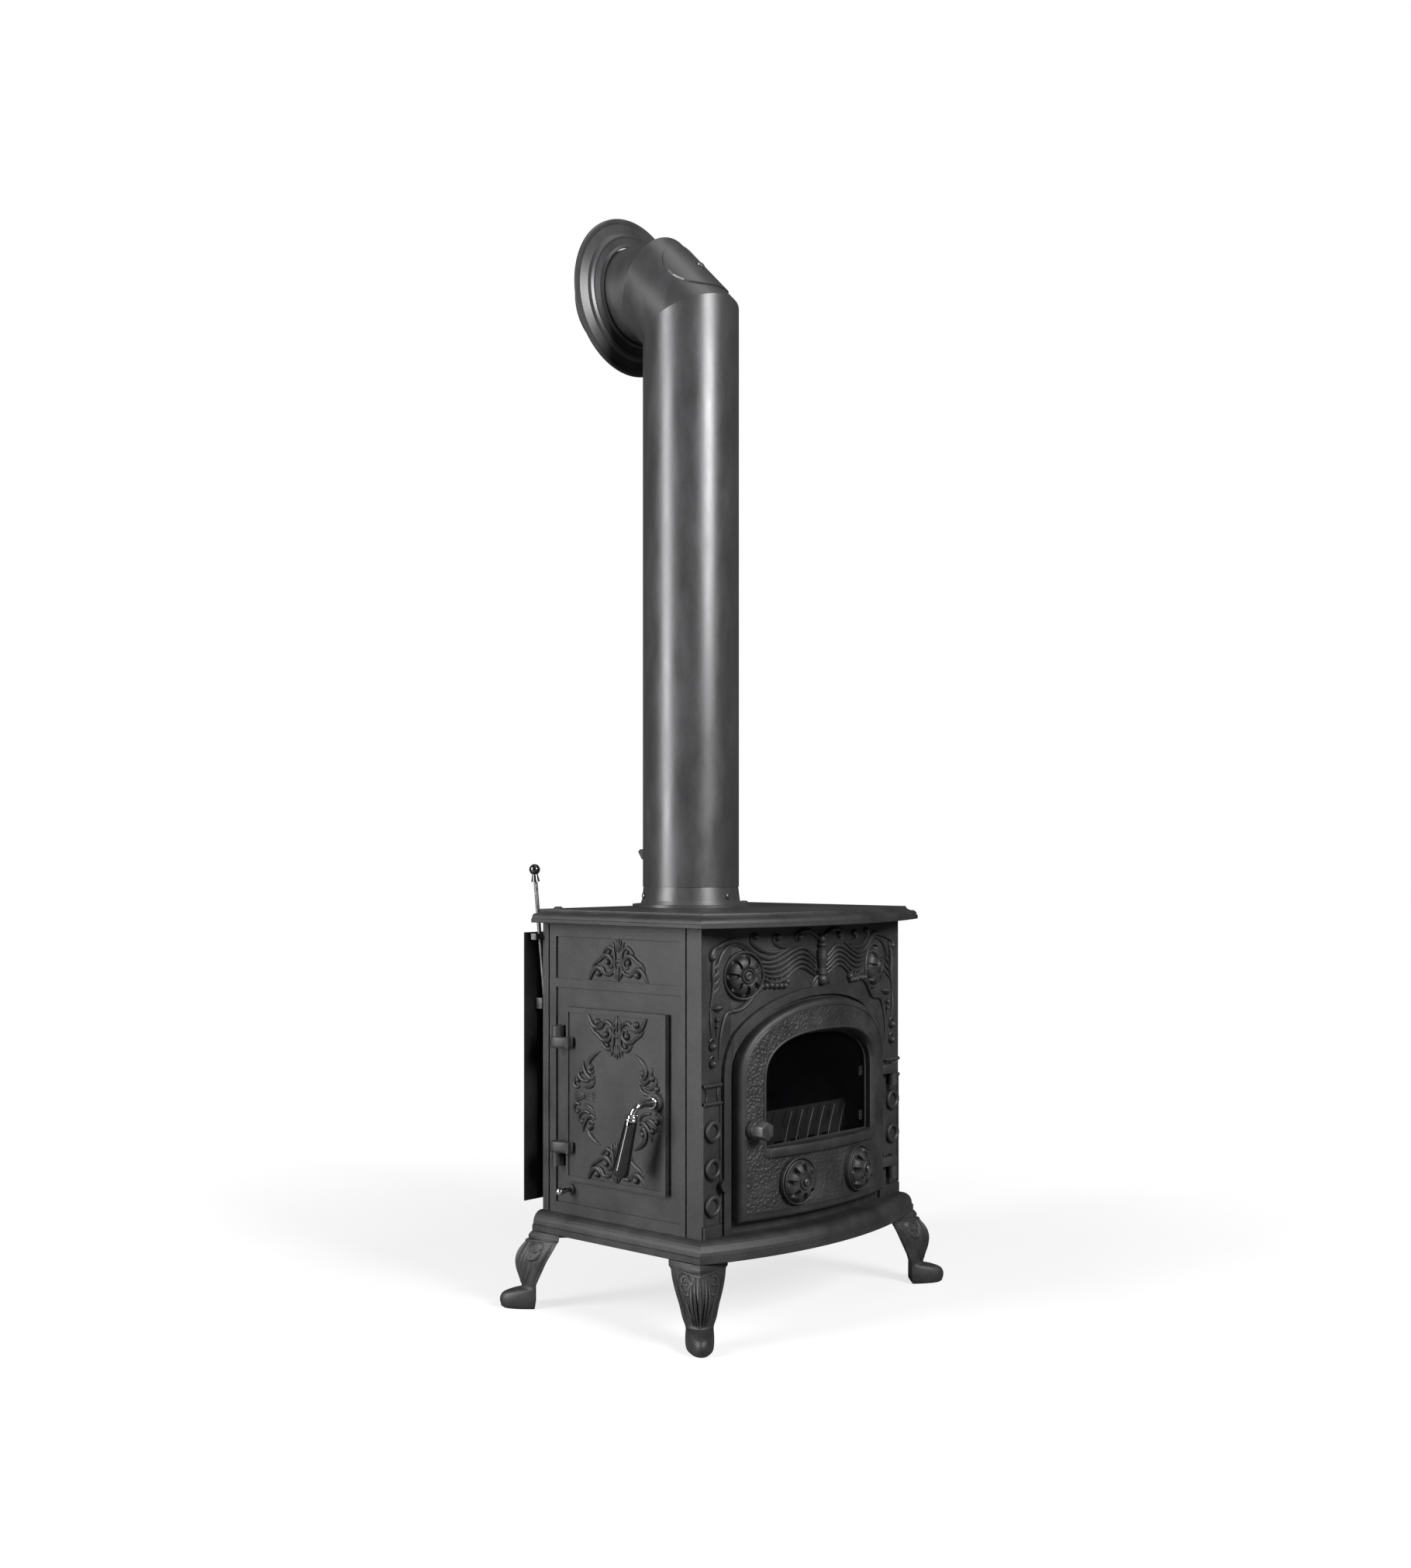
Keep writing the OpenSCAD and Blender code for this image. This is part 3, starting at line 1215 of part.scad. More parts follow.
module shield_screws() color(steel) for (f = shield_fixings) {
    rod_y(screw_r, f[0], f[1], y_back - wall, y_shield + shield_t);
    translate([f[0], y_shield + shield_t, f[1]]) rotate([-90, 0, 0]) pan_head(screw_r * 1.8, 3);
}

// Along the air control's rod, measured down from its ball
module on_air_rod(down) {
    translate([air_ball_x, air_rod_y, z_air_ball] - down * air_dir) rotate([0, -air_rod_lean, 0]) children();
}

module air_rod() color(steel) on_air_rod(air_rod_len) cylinder(r = air_rod_r, h = air_rod_len - 12);

module air_rod_knob() color(gloss_black) difference() {
    union() {
        on_air_rod(0) sphere(r = air_ball_r);
        on_air_rod(18) cylinder(r1 = 6.5, r2 = 4, h = 12);
    }
    on_air_rod(19) cylinder(r = air_rod_r + run, h = 7 + 0.05);
}

module air_rod_guide() color(steel) difference() {
    translate([-half_w - 14, y_back, z_top - 26]) cube([34, 11, 9]);
    on_air_rod(air_rod_len) cylinder(r = air_rod_r + run, h = air_rod_len);
}

module air_shutter() color(steel) {
    z = z_port;
    difference() {
        union() {
            block(port_x - port_w / 2 - 5, port_x + port_w / 2 + 4, y_back + free, y_back + free + 2, z - shutter_lap,
                z + port_h + shutter_lap);
            block(air_ball_x + 8, port_x - port_w / 2, y_back + free, air_rod_y + 5, z, z + 16);
        }
        on_air_rod(air_rod_len) cylinder(r = air_rod_r + run, h = air_rod_len);
    }
}

// ---- Which pieces are drawn ----

base_plate();
leg_front_left();
leg_front_right();
leg_back_left();
leg_back_right();
leg_bolts();
front_plate();
side_panel_left();
side_panel_right();
back_panel();
top_plate();
tie_rods();
striker_screw();
flue_collar();
collar_screws();
flue_pipe();
flue_elbow();
elbow_hatch_cover();
hatch_screw();
wall_rosette();
damper_disc();
damper_spindle();
front_door();
door_glass();
glass_gasket();
glass_clips();
clip_screws();
front_door_seal();
front_hinge_pins();
latch_knob();
latch_tongue();
air_spinner_left();
air_spinner_right();
spinner_studs();
side_door();
side_door_seal();
side_hinge_pins();
side_handle_arm();
side_handle_ferrule();
side_handle_grip();
side_latch_tongue();
fire_grate();
riddle_plate();
riddle_arm();
riddle_rod();
riddle_knob();
ash_pan();
log_guard();
rear_liner();
baffle_plate();
heat_shield();
shield_spacers();
shield_screws();
air_rod();
air_rod_knob();
air_rod_guide();
air_shutter();
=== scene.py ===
import math

import bmesh
import bpy
from bpy.props import FloatProperty, FloatVectorProperty, PointerProperty
from mathutils import Matrix, Vector


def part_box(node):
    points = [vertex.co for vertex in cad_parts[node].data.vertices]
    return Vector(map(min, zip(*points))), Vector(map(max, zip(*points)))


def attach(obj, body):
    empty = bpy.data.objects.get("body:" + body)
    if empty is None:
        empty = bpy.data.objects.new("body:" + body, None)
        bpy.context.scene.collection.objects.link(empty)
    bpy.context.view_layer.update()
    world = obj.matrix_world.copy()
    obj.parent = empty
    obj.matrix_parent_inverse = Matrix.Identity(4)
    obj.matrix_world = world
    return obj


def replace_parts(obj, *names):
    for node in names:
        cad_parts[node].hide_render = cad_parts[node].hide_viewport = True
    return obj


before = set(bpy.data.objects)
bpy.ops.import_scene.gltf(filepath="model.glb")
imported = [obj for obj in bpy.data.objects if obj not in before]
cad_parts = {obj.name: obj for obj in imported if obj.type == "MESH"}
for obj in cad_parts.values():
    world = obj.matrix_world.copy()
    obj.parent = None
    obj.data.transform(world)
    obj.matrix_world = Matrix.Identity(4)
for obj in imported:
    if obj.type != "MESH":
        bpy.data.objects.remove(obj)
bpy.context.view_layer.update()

bl_info = {
    "name": "Bow-fronted cast-iron stove",
    "version": (1, 0, 0),
    "blender": (4, 5, 0),
    "location": "View3D > Sidebar > Stove",
    "description": "Finishes, cast relief, bright parts and a plain stage for a bow-fronted stove",
    "category": "Object",
}

MM = 0.001

# Planes and radii of the castings, in the row frame, in metres
BOW_Y = 0.3805  # axis that the front is bowed about
PLATE_R = 0.575
DOOR_R = 0.5925
PLATE_Y = -0.169  # flat corners of the front plate
WINDOW_Y = -0.1945  # foot of the window's bevel
GLASS_Y = -0.1865  # the door's landing for the glass
GUARD_Y = -0.1385
FLUE_Y = 0.0605
SIDE_FLOOR_X = 0.2285
SIDE_DOOR_X = 0.2355

# Places of the turned pieces, in metres
RING_X = 0.211
RING_Z = (0.187, 0.238, 0.290)
ROSETTE_X, ROSETTE_Z = 0.1515, 0.502
DISC_X, DISC_Z = 0.0705, 0.207
LATCH_SEAT = (-0.149, -0.1969, 0.287)  # boss on the door
LATCH_FOOT = (-0.149, -0.1973, 0.287)  # foot of the knob's collar
HINGE_X, HINGE_Y = 0.2, -0.1805
HINGE_Z = (190.3, 333.3)  # feet of the door's eyes, in mm

# How far a relief's foot sinks into its casting, in metres, and the fold past which an edge is drawn sharp
SUNK = 0.0008
SHARP = math.radians(42)

# Which finish each casting, tube and fitting takes
FINISHED = {
    "cast_iron": (
        "base_plate leg_front_left leg_front_right leg_back_left leg_back_right front_plate side_panel_left"
        " side_panel_right back_panel top_plate side_door tie_rods striker_screw"
    ),
    "smooth_iron_painted_highlight": (
        "latch_tongue side_latch_tongue spinner_studs front_hinge_pins side_hinge_pins damper_spindle"
    ),
    "grate_iron": "fire_grate riddle_plate riddle_arm damper_disc baffle_plate glass_clips clip_screws",
    "flue_paint": "flue_collar flue_pipe flue_elbow elbow_hatch_cover wall_rosette",
    "black_sheet": "heat_shield ash_pan shield_spacers shield_screws",
    "plated_steel": "leg_bolts collar_screws hatch_screw air_rod air_rod_guide air_shutter riddle_rod",
    "chrome": "riddle_knob",
    "gloss_black": "air_rod_knob",
    "sooty_glass": "door_glass",
    "rope": "glass_gasket front_door_seal side_door_seal",
    "liner_board": "rear_liner",
    "guard_board": "log_guard",
}


# ---- Settings ----


def length(**settings):
    return FloatProperty(unit="LENGTH", subtype="DISTANCE", **settings)


def tint(**settings):
    return FloatVectorProperty(min=0, max=1, size=3, subtype="COLOR", **settings)


class StoveSizes(bpy.types.PropertyGroup):
    """Sizes of the cast relief and of the marks on the castings"""

    relief: FloatProperty(
        name="Relief", description="Height of a cast scroll over its half width",
        default=1.5, min=0.5, max=2.0, subtype="FACTOR",
    )
    grain: length(
        name="Casting grain", description="Size of the grain that the sand leaves on the castings",
        default=0.0016, min=0.0006, max=0.004,
    )
    hammer: length(
        name="Hammer marks", description="Size of the cells on the front door's field",
        default=0.0044, min=0.002, max=0.01,
    )


class StoveColours(bpy.types.PropertyGroup):
    """Colours of the finishes"""

    iron: tint(name="Iron", description="Stove black on the castings", default=(0.022, 0.0215, 0.0225))
    flue: tint(name="Flue", description="Satin paint on the flue", default=(0.045, 0.044, 0.046))
    liner: tint(name="Liner", description="Board of the rear liner", default=(0.26, 0.245, 0.18))
    guard: tint(name="Guard", description="Board of the log guard", default=(0.032, 0.0315, 0.031))
    rope: tint(name="Rope seal", description="Woven rope of the seals", default=(0.05, 0.047, 0.043))


class Step:
    """What all the operators share"""

    bl_options = {"REGISTER", "UNDO"}


# ---- Finishes ----


def put(tree, kind, inputs=None, **settings):
    """Adds a shader node; an input is a number or another node's socket"""
    node = tree.nodes.new("ShaderNode" + kind)
    for key, value in settings.items():
        setattr(node, key, value)
    for key, value in (inputs or {}).items():
        if isinstance(value, bpy.types.NodeSocket):
            tree.links.new(value, node.inputs[key])
        else:
            node.inputs[key].default_value = value
    return node


def blank(name, **sockets):
    """A new material with plain values in its shader's sockets, its tree and the object's coordinates"""
    material = bpy.data.materials.new(name)
    material.use_nodes = True
    tree = material.node_tree
    for key, value in sockets.items():
        tree.nodes["Principled BSDF"].inputs[key.replace("_", " ")].default_value = value
    return material, tree, put(tree, "TexCoord").outputs["Object"]


def noise(tree, where, size, detail=3.0, rough=0.5):
    """Soft patches of about that size in metres"""
    wired = {"Vector": where, "Scale": 1 / size, "Detail": detail, "Roughness": rough}
    return put(tree, "TexNoise", wired).outputs["Fac"]


def tones(tree, fac, stops):
    """A colour ramp: (place, colour) stops"""
    ramp = put(tree, "ValToRGB", {"Fac": fac})
    band = ramp.color_ramp.elements
    while len(band) < len(stops):
        band.new(0.5)
    for element, (place, colour) in zip(band, stops):
        element.position = place
        element.color = (*colour, 1)
    return ramp.outputs["Color"]


def shade(colour, by):
    return tuple(min(1, c * by) for c in colour)


def shades(tree, fac, colour, *stops):
    """A ramp of one colour, darker and lighter: (place, factor) stops"""
    return tones(tree, fac, [(place, shade(colour, by)) for place, by in stops])


def span(tree, fac, low, high, start=0.3, end=0.7):
    """A number from low to high as fac goes from start to end"""
    wired = {"Value": fac, "From Min": start, "From Max": end, "To Min": low, "To Max": high}
    return put(tree, "MapRange", wired).outputs["Result"]


def mixed(tree, by, a, b, kind="RGBA"):
    """Blends two colours, or two numbers when the kind is FLOAT"""
    first, result = {"FLOAT": (2, 0), "RGBA": (6, 2)}[kind]
    return put(tree, "Mix", {0: by, first: a, first + 1: b}, data_type=kind).outputs[result]


def mapped(tree, at, **settings):
    """Those coordinates scaled or turned"""
    return put(tree, "Mapping", {"Vector": at, **settings}).outputs["Vector"]


def dress(material, colour, roughness, layers, **others):
    """Wires a finish: colour, roughness and bump layers of (height socket, strength, depth in metres)"""
    tree = material.node_tree
    normal = None
    for height, strength, depth in layers:
        wired = {"Height": height, "Strength": strength, "Distance": depth}
        if normal:
            wired["Normal"] = normal
        normal = put(tree, "Bump", wired).outputs["Normal"]
    for key, value in {"Base Color": colour, "Roughness": roughness, "Normal": normal, **others}.items():
        tree.links.new(value, tree.nodes["Principled BSDF"].inputs[key])
    return material


def cast_iron(colour, grain):
    """Stove black rubbed on sand-cast iron: soft patches, a fine grain, rubbed and dull places"""
    material, tree, at = blank("cast_iron", Metallic=0.3, Specular_IOR_Level=0.5)
    patch = noise(tree, at, 0.05, 4, 0.6)
    speckled = mixed(tree, 0.45, patch, noise(tree, at, grain * 1.4, 2, 0.6), "FLOAT")
    return dress(
        material,
        shades(tree, speckled, colour, (0.3, 0.55), (0.5, 1), (0.72, 1.9)),
        span(tree, patch, 0.46, 0.60),
        [(noise(tree, at, 0.009, 2), 0.35, 0.0006), (noise(tree, at, grain, 3, 0.65), 0.7, 0.0004)],
    )


def hammered_iron(colour, cell, grain):
    """Castings with a field of small hammer marks"""
    material, tree, at = blank("hammered_iron", Metallic=0.3, Specular_IOR_Level=0.5)
    patch = noise(tree, at, 0.05, 4, 0.6)
    wired = {"Vector": at, "Scale": 1 / cell, "Smoothness": 0.6}
    marks = put(tree, "TexVoronoi", wired, feature="SMOOTH_F1").outputs["Distance"]
    return dress(
        material,
        shades(tree, patch, colour, (0.3, 0.65), (0.5, 1), (0.72, 1.7)),
        span(tree, patch, 0.44, 0.56),
        [(marks, 0.9, 0.0017), (noise(tree, at, grain, 3, 0.65), 0.5, 0.0003)],
    )


def smooth_iron_painted_highlight(colour, grain):
    """Turned or machined iron under the same black, painted 1.5 to 4.2 times lighter in patches: a painted
    highlight for the light its small faces catch
    """
    material, tree, at = blank("smooth_iron_painted_highlight", Metallic=0.45, Specular_IOR_Level=0.4)
    patch = noise(tree, at, 0.012, 4, 0.6)
    return dress(
        material,
        # the iron black painted 1.5 to 4.2 times lighter: a painted highlight on the latch, studs, pins and
        # tongues
        shades(tree, patch, colour, (0.35, 1.5), (0.55, 2.6), (0.75, 4.2)),
        span(tree, patch, 0.45, 0.32),
        [(noise(tree, at, grain * 1.2, 2), 0.3, 0.0002)],
    )


def grate_iron(colour, grain):
    """Burnt iron of the grate: scale, ash grey in the hollows, a touch of rust"""
    material, tree, at = blank("grate_iron", Metallic=0.1, Specular_IOR_Level=0.2)
    scale = noise(tree, at, 0.008, 5, 0.7)
    rust = span(tree, noise(tree, at, 0.03, 3, 0.5), 0, 0.35, 0.55, 0.8)
    stops = [(0.35, shade(colour, 0.6)), (0.6, shade(colour, 1.6)), (0.8, (0.11, 0.105, 0.10))]
    return dress(
        material,
        mixed(tree, rust, tones(tree, scale, stops), (0.07, 0.03, 0.015, 1)),
        span(tree, scale, 0.65, 0.9),
        [(scale, 0.6, 0.0008), (noise(tree, at, grain, 2), 0.4, 0.0003)],
    )


def flue_paint(colour):
    """Satin stove paint on rolled tube: soft cloudy sheen, drawn a little along the tube"""
    material, tree, at = blank("flue_paint", Metallic=0.35, Specular_IOR_Level=0.5)
    along = mapped(tree, at, Scale=(1, 1, 0.35))
    cloud = noise(tree, along, 0.035, 4, 0.6)
    fleck = noise(tree, at, 0.0022, 2, 0.6)
    flecked = mixed(tree, 0.35, cloud, fleck, "FLOAT")
    return dress(
        material,
        shades(tree, flecked, colour, (0.3, 0.75), (0.5, 1), (0.75, 1.35)),
        span(tree, cloud, 0.30, 0.42),
        [(noise(tree, along, 0.02, 2), 0.12, 0.0008), (fleck, 0.15, 0.00015)],
    )


def black_sheet():
    """Powder-coated sheet: orange peel and a dusty bloom"""
    material, tree, at = blank("black_sheet", Metallic=0.0, Specular_IOR_Level=0.35)
    bloom = noise(tree, at, 0.06, 4, 0.6)
    return dress(
        material,
        tones(tree, bloom, [(0.3, (0.004, 0.004, 0.0045)), (0.7, (0.010, 0.010, 0.011))]),
        span(tree, bloom, 0.45, 0.6),
        [(noise(tree, at, 0.0025, 2), 0.2, 0.0003)],
    )


def plated_steel():
    """Zinc-plated fittings: fine brushing and a dull tint in places"""
    material, tree, at = blank("plated_steel", Metallic=0.9)
    tint = noise(tree, at, 0.012, 3)
    return dress(
        material,
        tones(tree, tint, [(0.3, (0.09, 0.09, 0.087)), (0.7, (0.22, 0.217, 0.21))]),
        span(tree, tint, 0.34, 0.48),
        [(noise(tree, mapped(tree, at, Scale=(1, 1, 0.08)), 0.0006, 3), 0.2, 0.0001)],
    )


def chrome():
    """Polished plate with the faintest haze and orange peel"""
    material, tree, at = blank("chrome", Metallic=1.0)
    haze = noise(tree, at, 0.01, 4, 0.6)
    return dress(
        material,
        tones(tree, haze, [(0.3, (0.50, 0.50, 0.51)), (0.7, (0.66, 0.66, 0.67))]),
        span(tree, haze, 0.06, 0.16),
        [(noise(tree, at, 0.006, 1), 0.03, 0.00004)],
    )


def gloss_black():
    """Moulded thermoset: deep black, a hard gloss, faint flow waves"""
    material, tree, at = blank("gloss_black", Coat_Weight=0.6, Coat_Roughness=0.05, Specular_IOR_Level=0.5)
    flow = noise(tree, at, 0.014, 2)
    return dress(
        material,
        tones(tree, flow, [(0.3, (0.0035, 0.0035, 0.004)), (0.7, (0.007, 0.007, 0.0075))]),
        span(tree, flow, 0.07, 0.12),
        [(flow, 0.05, 0.0005)],
    )


def sooty_glass():
    """Ceramic glass with a tint and a breath of soot in patches"""
    material, tree, at = blank("sooty_glass", IOR=1.45, Specular_IOR_Level=0.12)
    soot = noise(tree, at, 0.07, 4, 0.6)
    return dress(
        material,
        tones(tree, soot, [(0.3, (0.002, 0.002, 0.003)), (0.7, (0.004, 0.004, 0.005))]),
        span(tree, soot, 0.02, 0.06),
        [(noise(tree, at, 0.05, 1), 0.03, 0.0004)],
        Alpha=span(tree, soot, 0.16, 0.24),
    )


def rope_seal(colour):
    """Knitted glass rope: fine slanting ribs with painted shade in the grooves between them, grey with use
    """
    material, tree, at = blank("rope", Specular_IOR_Level=0.1)
    slanted = mapped(tree, at, Rotation=(0.6, 0.9, 0.7))
    wired = {"Vector": slanted, "Scale": 160, "Distortion": 1.5, "Detail": 1}
    ribs = put(tree, "TexWave", wired).outputs["Fac"]
    grime = span(tree, noise(tree, at, 0.02, 3), 0.1, 0.6)
    # the rope's colour painted darker where the ribs' bump is low: painted shade in the grooves
    knit_with_painted_shade = shades(tree, ribs, colour, (0.15, 0.35), (0.7, 1))
    return dress(
        material,
        mixed(tree, grime, knit_with_painted_shade, (0.02, 0.019, 0.018, 1)),
        span(tree, ribs, 0.8, 0.95, 0, 1),
        [(ribs, 0.8, 0.0006)],
    )


def liner_board(name, colour):
    """Fire-board: pale flakes, smoke-stained"""
    material, tree, at = blank(name, Specular_IOR_Level=0.1)
    flake = put(tree, "TexVoronoi", {"Vector": at, "Scale": 260}).outputs["Color"]
    grey = put(tree, "RGBToBW", {"Color": flake}).outputs["Val"]
    smoke = noise(tree, at, 0.05, 4, 0.6)
    light = shades(tree, smoke, colour, (0.3, 0.35), (0.7, 1))
    return dress(
        material,
        mixed(tree, span(tree, grey, 0, 0.4), light, (*shade(colour, 0.5), 1)),
        span(tree, smoke, 0.75, 0.92),
        [(grey, 0.4, 0.0005)],
    )


class STOVE_OT_finishes(Step, bpy.types.Operator):
    """Gives every casting, tube and fitting its finish"""

    bl_idname = "stove.finishes"
    bl_label = "Finishes"

    def execute(self, context):
        sizes, colours = context.scene.stove_sizes, context.scene.stove_colours
        iron = tuple(colours.iron)
        made = {
            "cast_iron": cast_iron(iron, sizes.grain),
            "hammered_iron": hammered_iron(iron, sizes.hammer, sizes.grain),
            "smooth_iron_painted_highlight": smooth_iron_painted_highlight(iron, sizes.grain),
            "grate_iron": grate_iron(iron, sizes.grain),
            "flue_paint": flue_paint(tuple(colours.flue)),
            "black_sheet": black_sheet(),
            "plated_steel": plated_steel(),
            "chrome": chrome(),
            "gloss_black": gloss_black(),
            "sooty_glass": sooty_glass(),
            "rope": rope_seal(tuple(colours.rope)),
            "liner_board": liner_board("liner_board", tuple(colours.liner)),
            "guard_board": liner_board("guard_board", tuple(colours.guard)),
            # the guard's board made eight times lighter for its slanting edges: a painted highlight
            "guard_edges": liner_board("guard_edges", shade(colours.guard, 8)),
        }
        for name, nodes in FINISHED.items():
            for node in nodes.split():
                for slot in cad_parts[node].material_slots:
                    slot.material = made[name]
        return {"FINISHED"}


class STOVE_OT_guard_edges(Step, bpy.types.Operator):
    """Draws the slanting edges on the log guard's face in a copy of its board made eight times lighter:
    painted highlights
    """

    bl_idname = "stove.guard_edges"
    bl_label = "Guard edges"

    def execute(self, context):
        strokes = [[(x, 237, 0.7), (x + 8, 264, 1), (x + 19, 291, 0.7)] for x in range(-15, 117, 26)]
        relief("guard_slants", strokes, on_guard, 1, "stove", "liner_iron", "guard_edges")
        return {"FINISHED"}


# ---- Cast relief ----


def on_plate(x, z, h):
    """A point h in front of the front plate, bowed between its flat corners"""
    bow = BOW_Y - (PLATE_R + h) * math.cos(math.asin(max(-1, min(1, x / PLATE_R))))
    return Vector((x, min(bow, PLATE_Y - h), z))


def on_door(x, z, h):
    """A point h in front of the bowed front door"""
    return Vector((x, BOW_Y - (DOOR_R + h) * math.cos(math.asin(x / DOOR_R)), z))


def on_guard(x, z, h):
    """A point h in front of the log guard"""
    return Vector((x, GUARD_Y - h, z))


def on_side(wall_x, side=-1):
    """A point h out of a flat side, its place given as how far it is in front of the flue's axis"""
    return lambda u, z, h: Vector((side * (wall_x + h), FLUE_Y - u, z))


def mirrored(strokes, about=0):
    return [[(2 * about - x, z, r) for x, z, r in stroke] for stroke in strokes]


def shifted(strokes, across=0, up=0, flip=None):
    """Moves strokes; flip turns them upside down about that height first"""
    return [
        [(x + across, (z if flip is None else 2 * flip - z) + up, r) for x, z, r in stroke]
        for stroke in strokes
    ]


def swollen(strokes, by):
    return [[(x, z, r * by) for x, z, r in stroke] for stroke in strokes]


def ball(x, z, r):
    """A round boss, as a stroke of one point"""
    return [(x, z, r)]


def leaf(x, z, half_length, half_width, angle):
    """An almond-shaped leaf"""
    c, s = math.cos(math.radians(angle)), math.sin(math.radians(angle))
    return [
        (x + t * half_length * c, z + t * half_length * s, r * half_width)
        for t, r in ((-1, 0.1), (-0.55, 0.75), (0, 1), (0.55, 0.7), (1, 0.1))
    ]


def bars(bm, paths, steps, roundness):
    """Adds round bars through points of (x, y, z, radius) in mm; a curve draws them and is dropped"""
    curve = bpy.data.curves.new("bars", "CURVE")
    curve.dimensions = "3D"
    curve.bevel_depth = MM
    curve.bevel_resolution = roundness
    curve.resolution_u = steps
    curve.use_fill_caps = True
    for path in paths:
        spline = curve.splines.new("BEZIER")
        spline.bezier_points.add(len(path) - 1)
        for point, (x, y, z, r) in zip(spline.bezier_points, path):
            point.co = (x * MM, y * MM, z * MM)
            point.radius = r
            point.handle_left_type = point.handle_right_type = "AUTO"
    drawn = bpy.data.objects.new("bars", curve)
    bpy.context.scene.collection.objects.link(drawn)
    bpy.context.view_layer.update()
    tubes = bpy.data.meshes.new_from_object(drawn.evaluated_get(bpy.context.evaluated_depsgraph_get()))
    bm.from_mesh(tubes)
    bpy.data.meshes.remove(tubes)
    bpy.data.objects.remove(drawn)
    bpy.data.curves.remove(curve)
    bmesh.ops.remove_doubles(bm, verts=bm.verts, dist=1e-7)


def relief(name, strokes, place, height, *rides):
    """Casts strokes of (across, up, half width in mm) on a surface; rides are as in settle"""
    bm = bmesh.new()
    drawn = [[(x, 0, z, r) for x, z, r in stroke] for stroke in strokes if len(stroke) > 1]
    bars(bm, drawn, steps=5, roundness=2)
    for x, z, r in (stroke[0] for stroke in strokes if len(stroke) == 1):
        bmesh.ops.create_icosphere(
            bm, subdivisions=3, radius=r * MM, matrix=Matrix.Translation((x * MM, 0, z * MM))
        )
    for vert in bm.verts:
        vert.co = place(vert.co.x, vert.co.z, max(-vert.co.y * height, -SUNK))
    settle(name, bm, *rides)


def settle(name, bm, body="stove", slot="iron", finish="cast_iron"):
    """Makes the finished piece: faces outwards, smooth but for sharp edges, riding on its body"""
    bm.normal_update()
    bmesh.ops.recalc_face_normals(bm, faces=bm.faces)
    for edge in bm.edges:
        edge.smooth = len(edge.link_faces) != 2 or edge.calc_face_angle(0) < SHARP
    for face in bm.faces:
        face.smooth = True
    mesh = bpy.data.meshes.new(name)
    bm.to_mesh(mesh)
    bm.free()
    mesh.materials.append(bpy.data.materials[finish])
    piece = bpy.data.objects.new(name, mesh)
    bpy.context.scene.collection.objects.link(piece)
    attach(piece, body)
    return piece


# ---- Turned and bridged pieces ----


def ring(bm, points):
    """A closed loop of edges"""
    verts = [bm.verts.new(point) for point in points]
    return [bm.edges.new(pair) for pair in zip(verts, verts[1:] + verts[:1])]


def skinned(bm, rings):
    """Bridges each ring to the next and returns the faces of each band"""
    return [bmesh.ops.bridge_loops(bm, edges=a + b)["faces"] for a, b in zip(rings, rings[1:])]


def closed(bm, rings):
    """Bridges the rings, caps both ends and returns all the faces"""
    faces = sum(skinned(bm, rings), [])
    for end in (rings[0], rings[-1]):
        faces += bmesh.ops.contextual_create(bm, geom=end)["faces"]
    return faces


def rounded(bm, edges, offset, segments):
    """Rounds those edges"""
    bmesh.ops.bevel(
        bm, geom=edges, affect="EDGES", offset=offset, segments=segments, profile=0.5, material=-1,
        offset_type="OFFSET", clamp_overlap=True,
    )


def turned(bm, profile, matrix=None, steps=48):
    """Spins a profile of (radius, height in mm) about its axis and returns the new vertices"""
    old = set(bm.verts)
    verts = [bm.verts.new((r * MM, 0, h * MM)) for r, h in profile]
    edges = [bm.edges.new(pair) for pair in zip(verts, verts[1:])]
    bmesh.ops.spin(
        bm, geom=verts + edges, cent=(0, 0, 0), axis=(0, 0, 1), angle=2 * math.pi, steps=steps,
        use_merge=True,
    )
    bmesh.ops.remove_doubles(bm, verts=[v for v in bm.verts if v not in old], dist=1e-6)
    made = [v for v in bm.verts if v not in old]
    if matrix:
        bmesh.ops.transform(bm, matrix=matrix, verts=made)
    return made


def facing(origin, out, up=(0, 0, 1)):
    """A frame whose third axis points out, with its second as near up as it can be"""
    out = Vector(out).normalized()
    across = Vector(up).cross(out).normalized()
    turn = Matrix((across, out.cross(across), out)).transposed()
    return Matrix.Translation(origin) @ turn.to_4x4()


def on_bow(x, z, radius):
    """The frame of a seat on a bowed casting"""
    a = math.asin(x / radius)
    return facing((x, BOW_Y - radius * math.cos(a), z), (math.sin(a), -math.cos(a), 0))


def arch(half, foot, spring, top, roundness):
    """An upright outline with a rounded arch in mm, round from the middle of its foot"""
    crown, straight = 32, 8
    points = [(half * i / straight, foot) for i in range(straight)]
    points += [(half, foot + (spring - foot) * i / straight) for i in range(straight)]
    for i in range(crown + 1):
        c, s = math.cos(math.pi * i / crown), math.sin(math.pi * i / crown)
        across, up = (abs(part) ** (2 / roundness) for part in (c, s))
        points.append((half * math.copysign(across, c), spring + (top - spring) * up))
    points += [(-half, spring - (spring - foot) * i / straight) for i in range(1, straight)]
    points += [(-half + half * i / straight, foot) for i in range(straight)]
    return points


# Outlines of the door and of its window, in mm: half width, foot, spring, top and roundness of the arch
DOOR = (170, 157, 362, 463, 2.1)
WINDOW = (120, 259, 350, 411, 2.6)


def inset(outline, side, foot):
    """An outline drawn in at its sides and arch, and at its foot"""
    half, base, spring, top, roundness = outline
    return arch(half - side, base + foot, spring, top - side, roundness)


def window_line(outset):
    return inset(WINDOW, -outset, -outset)


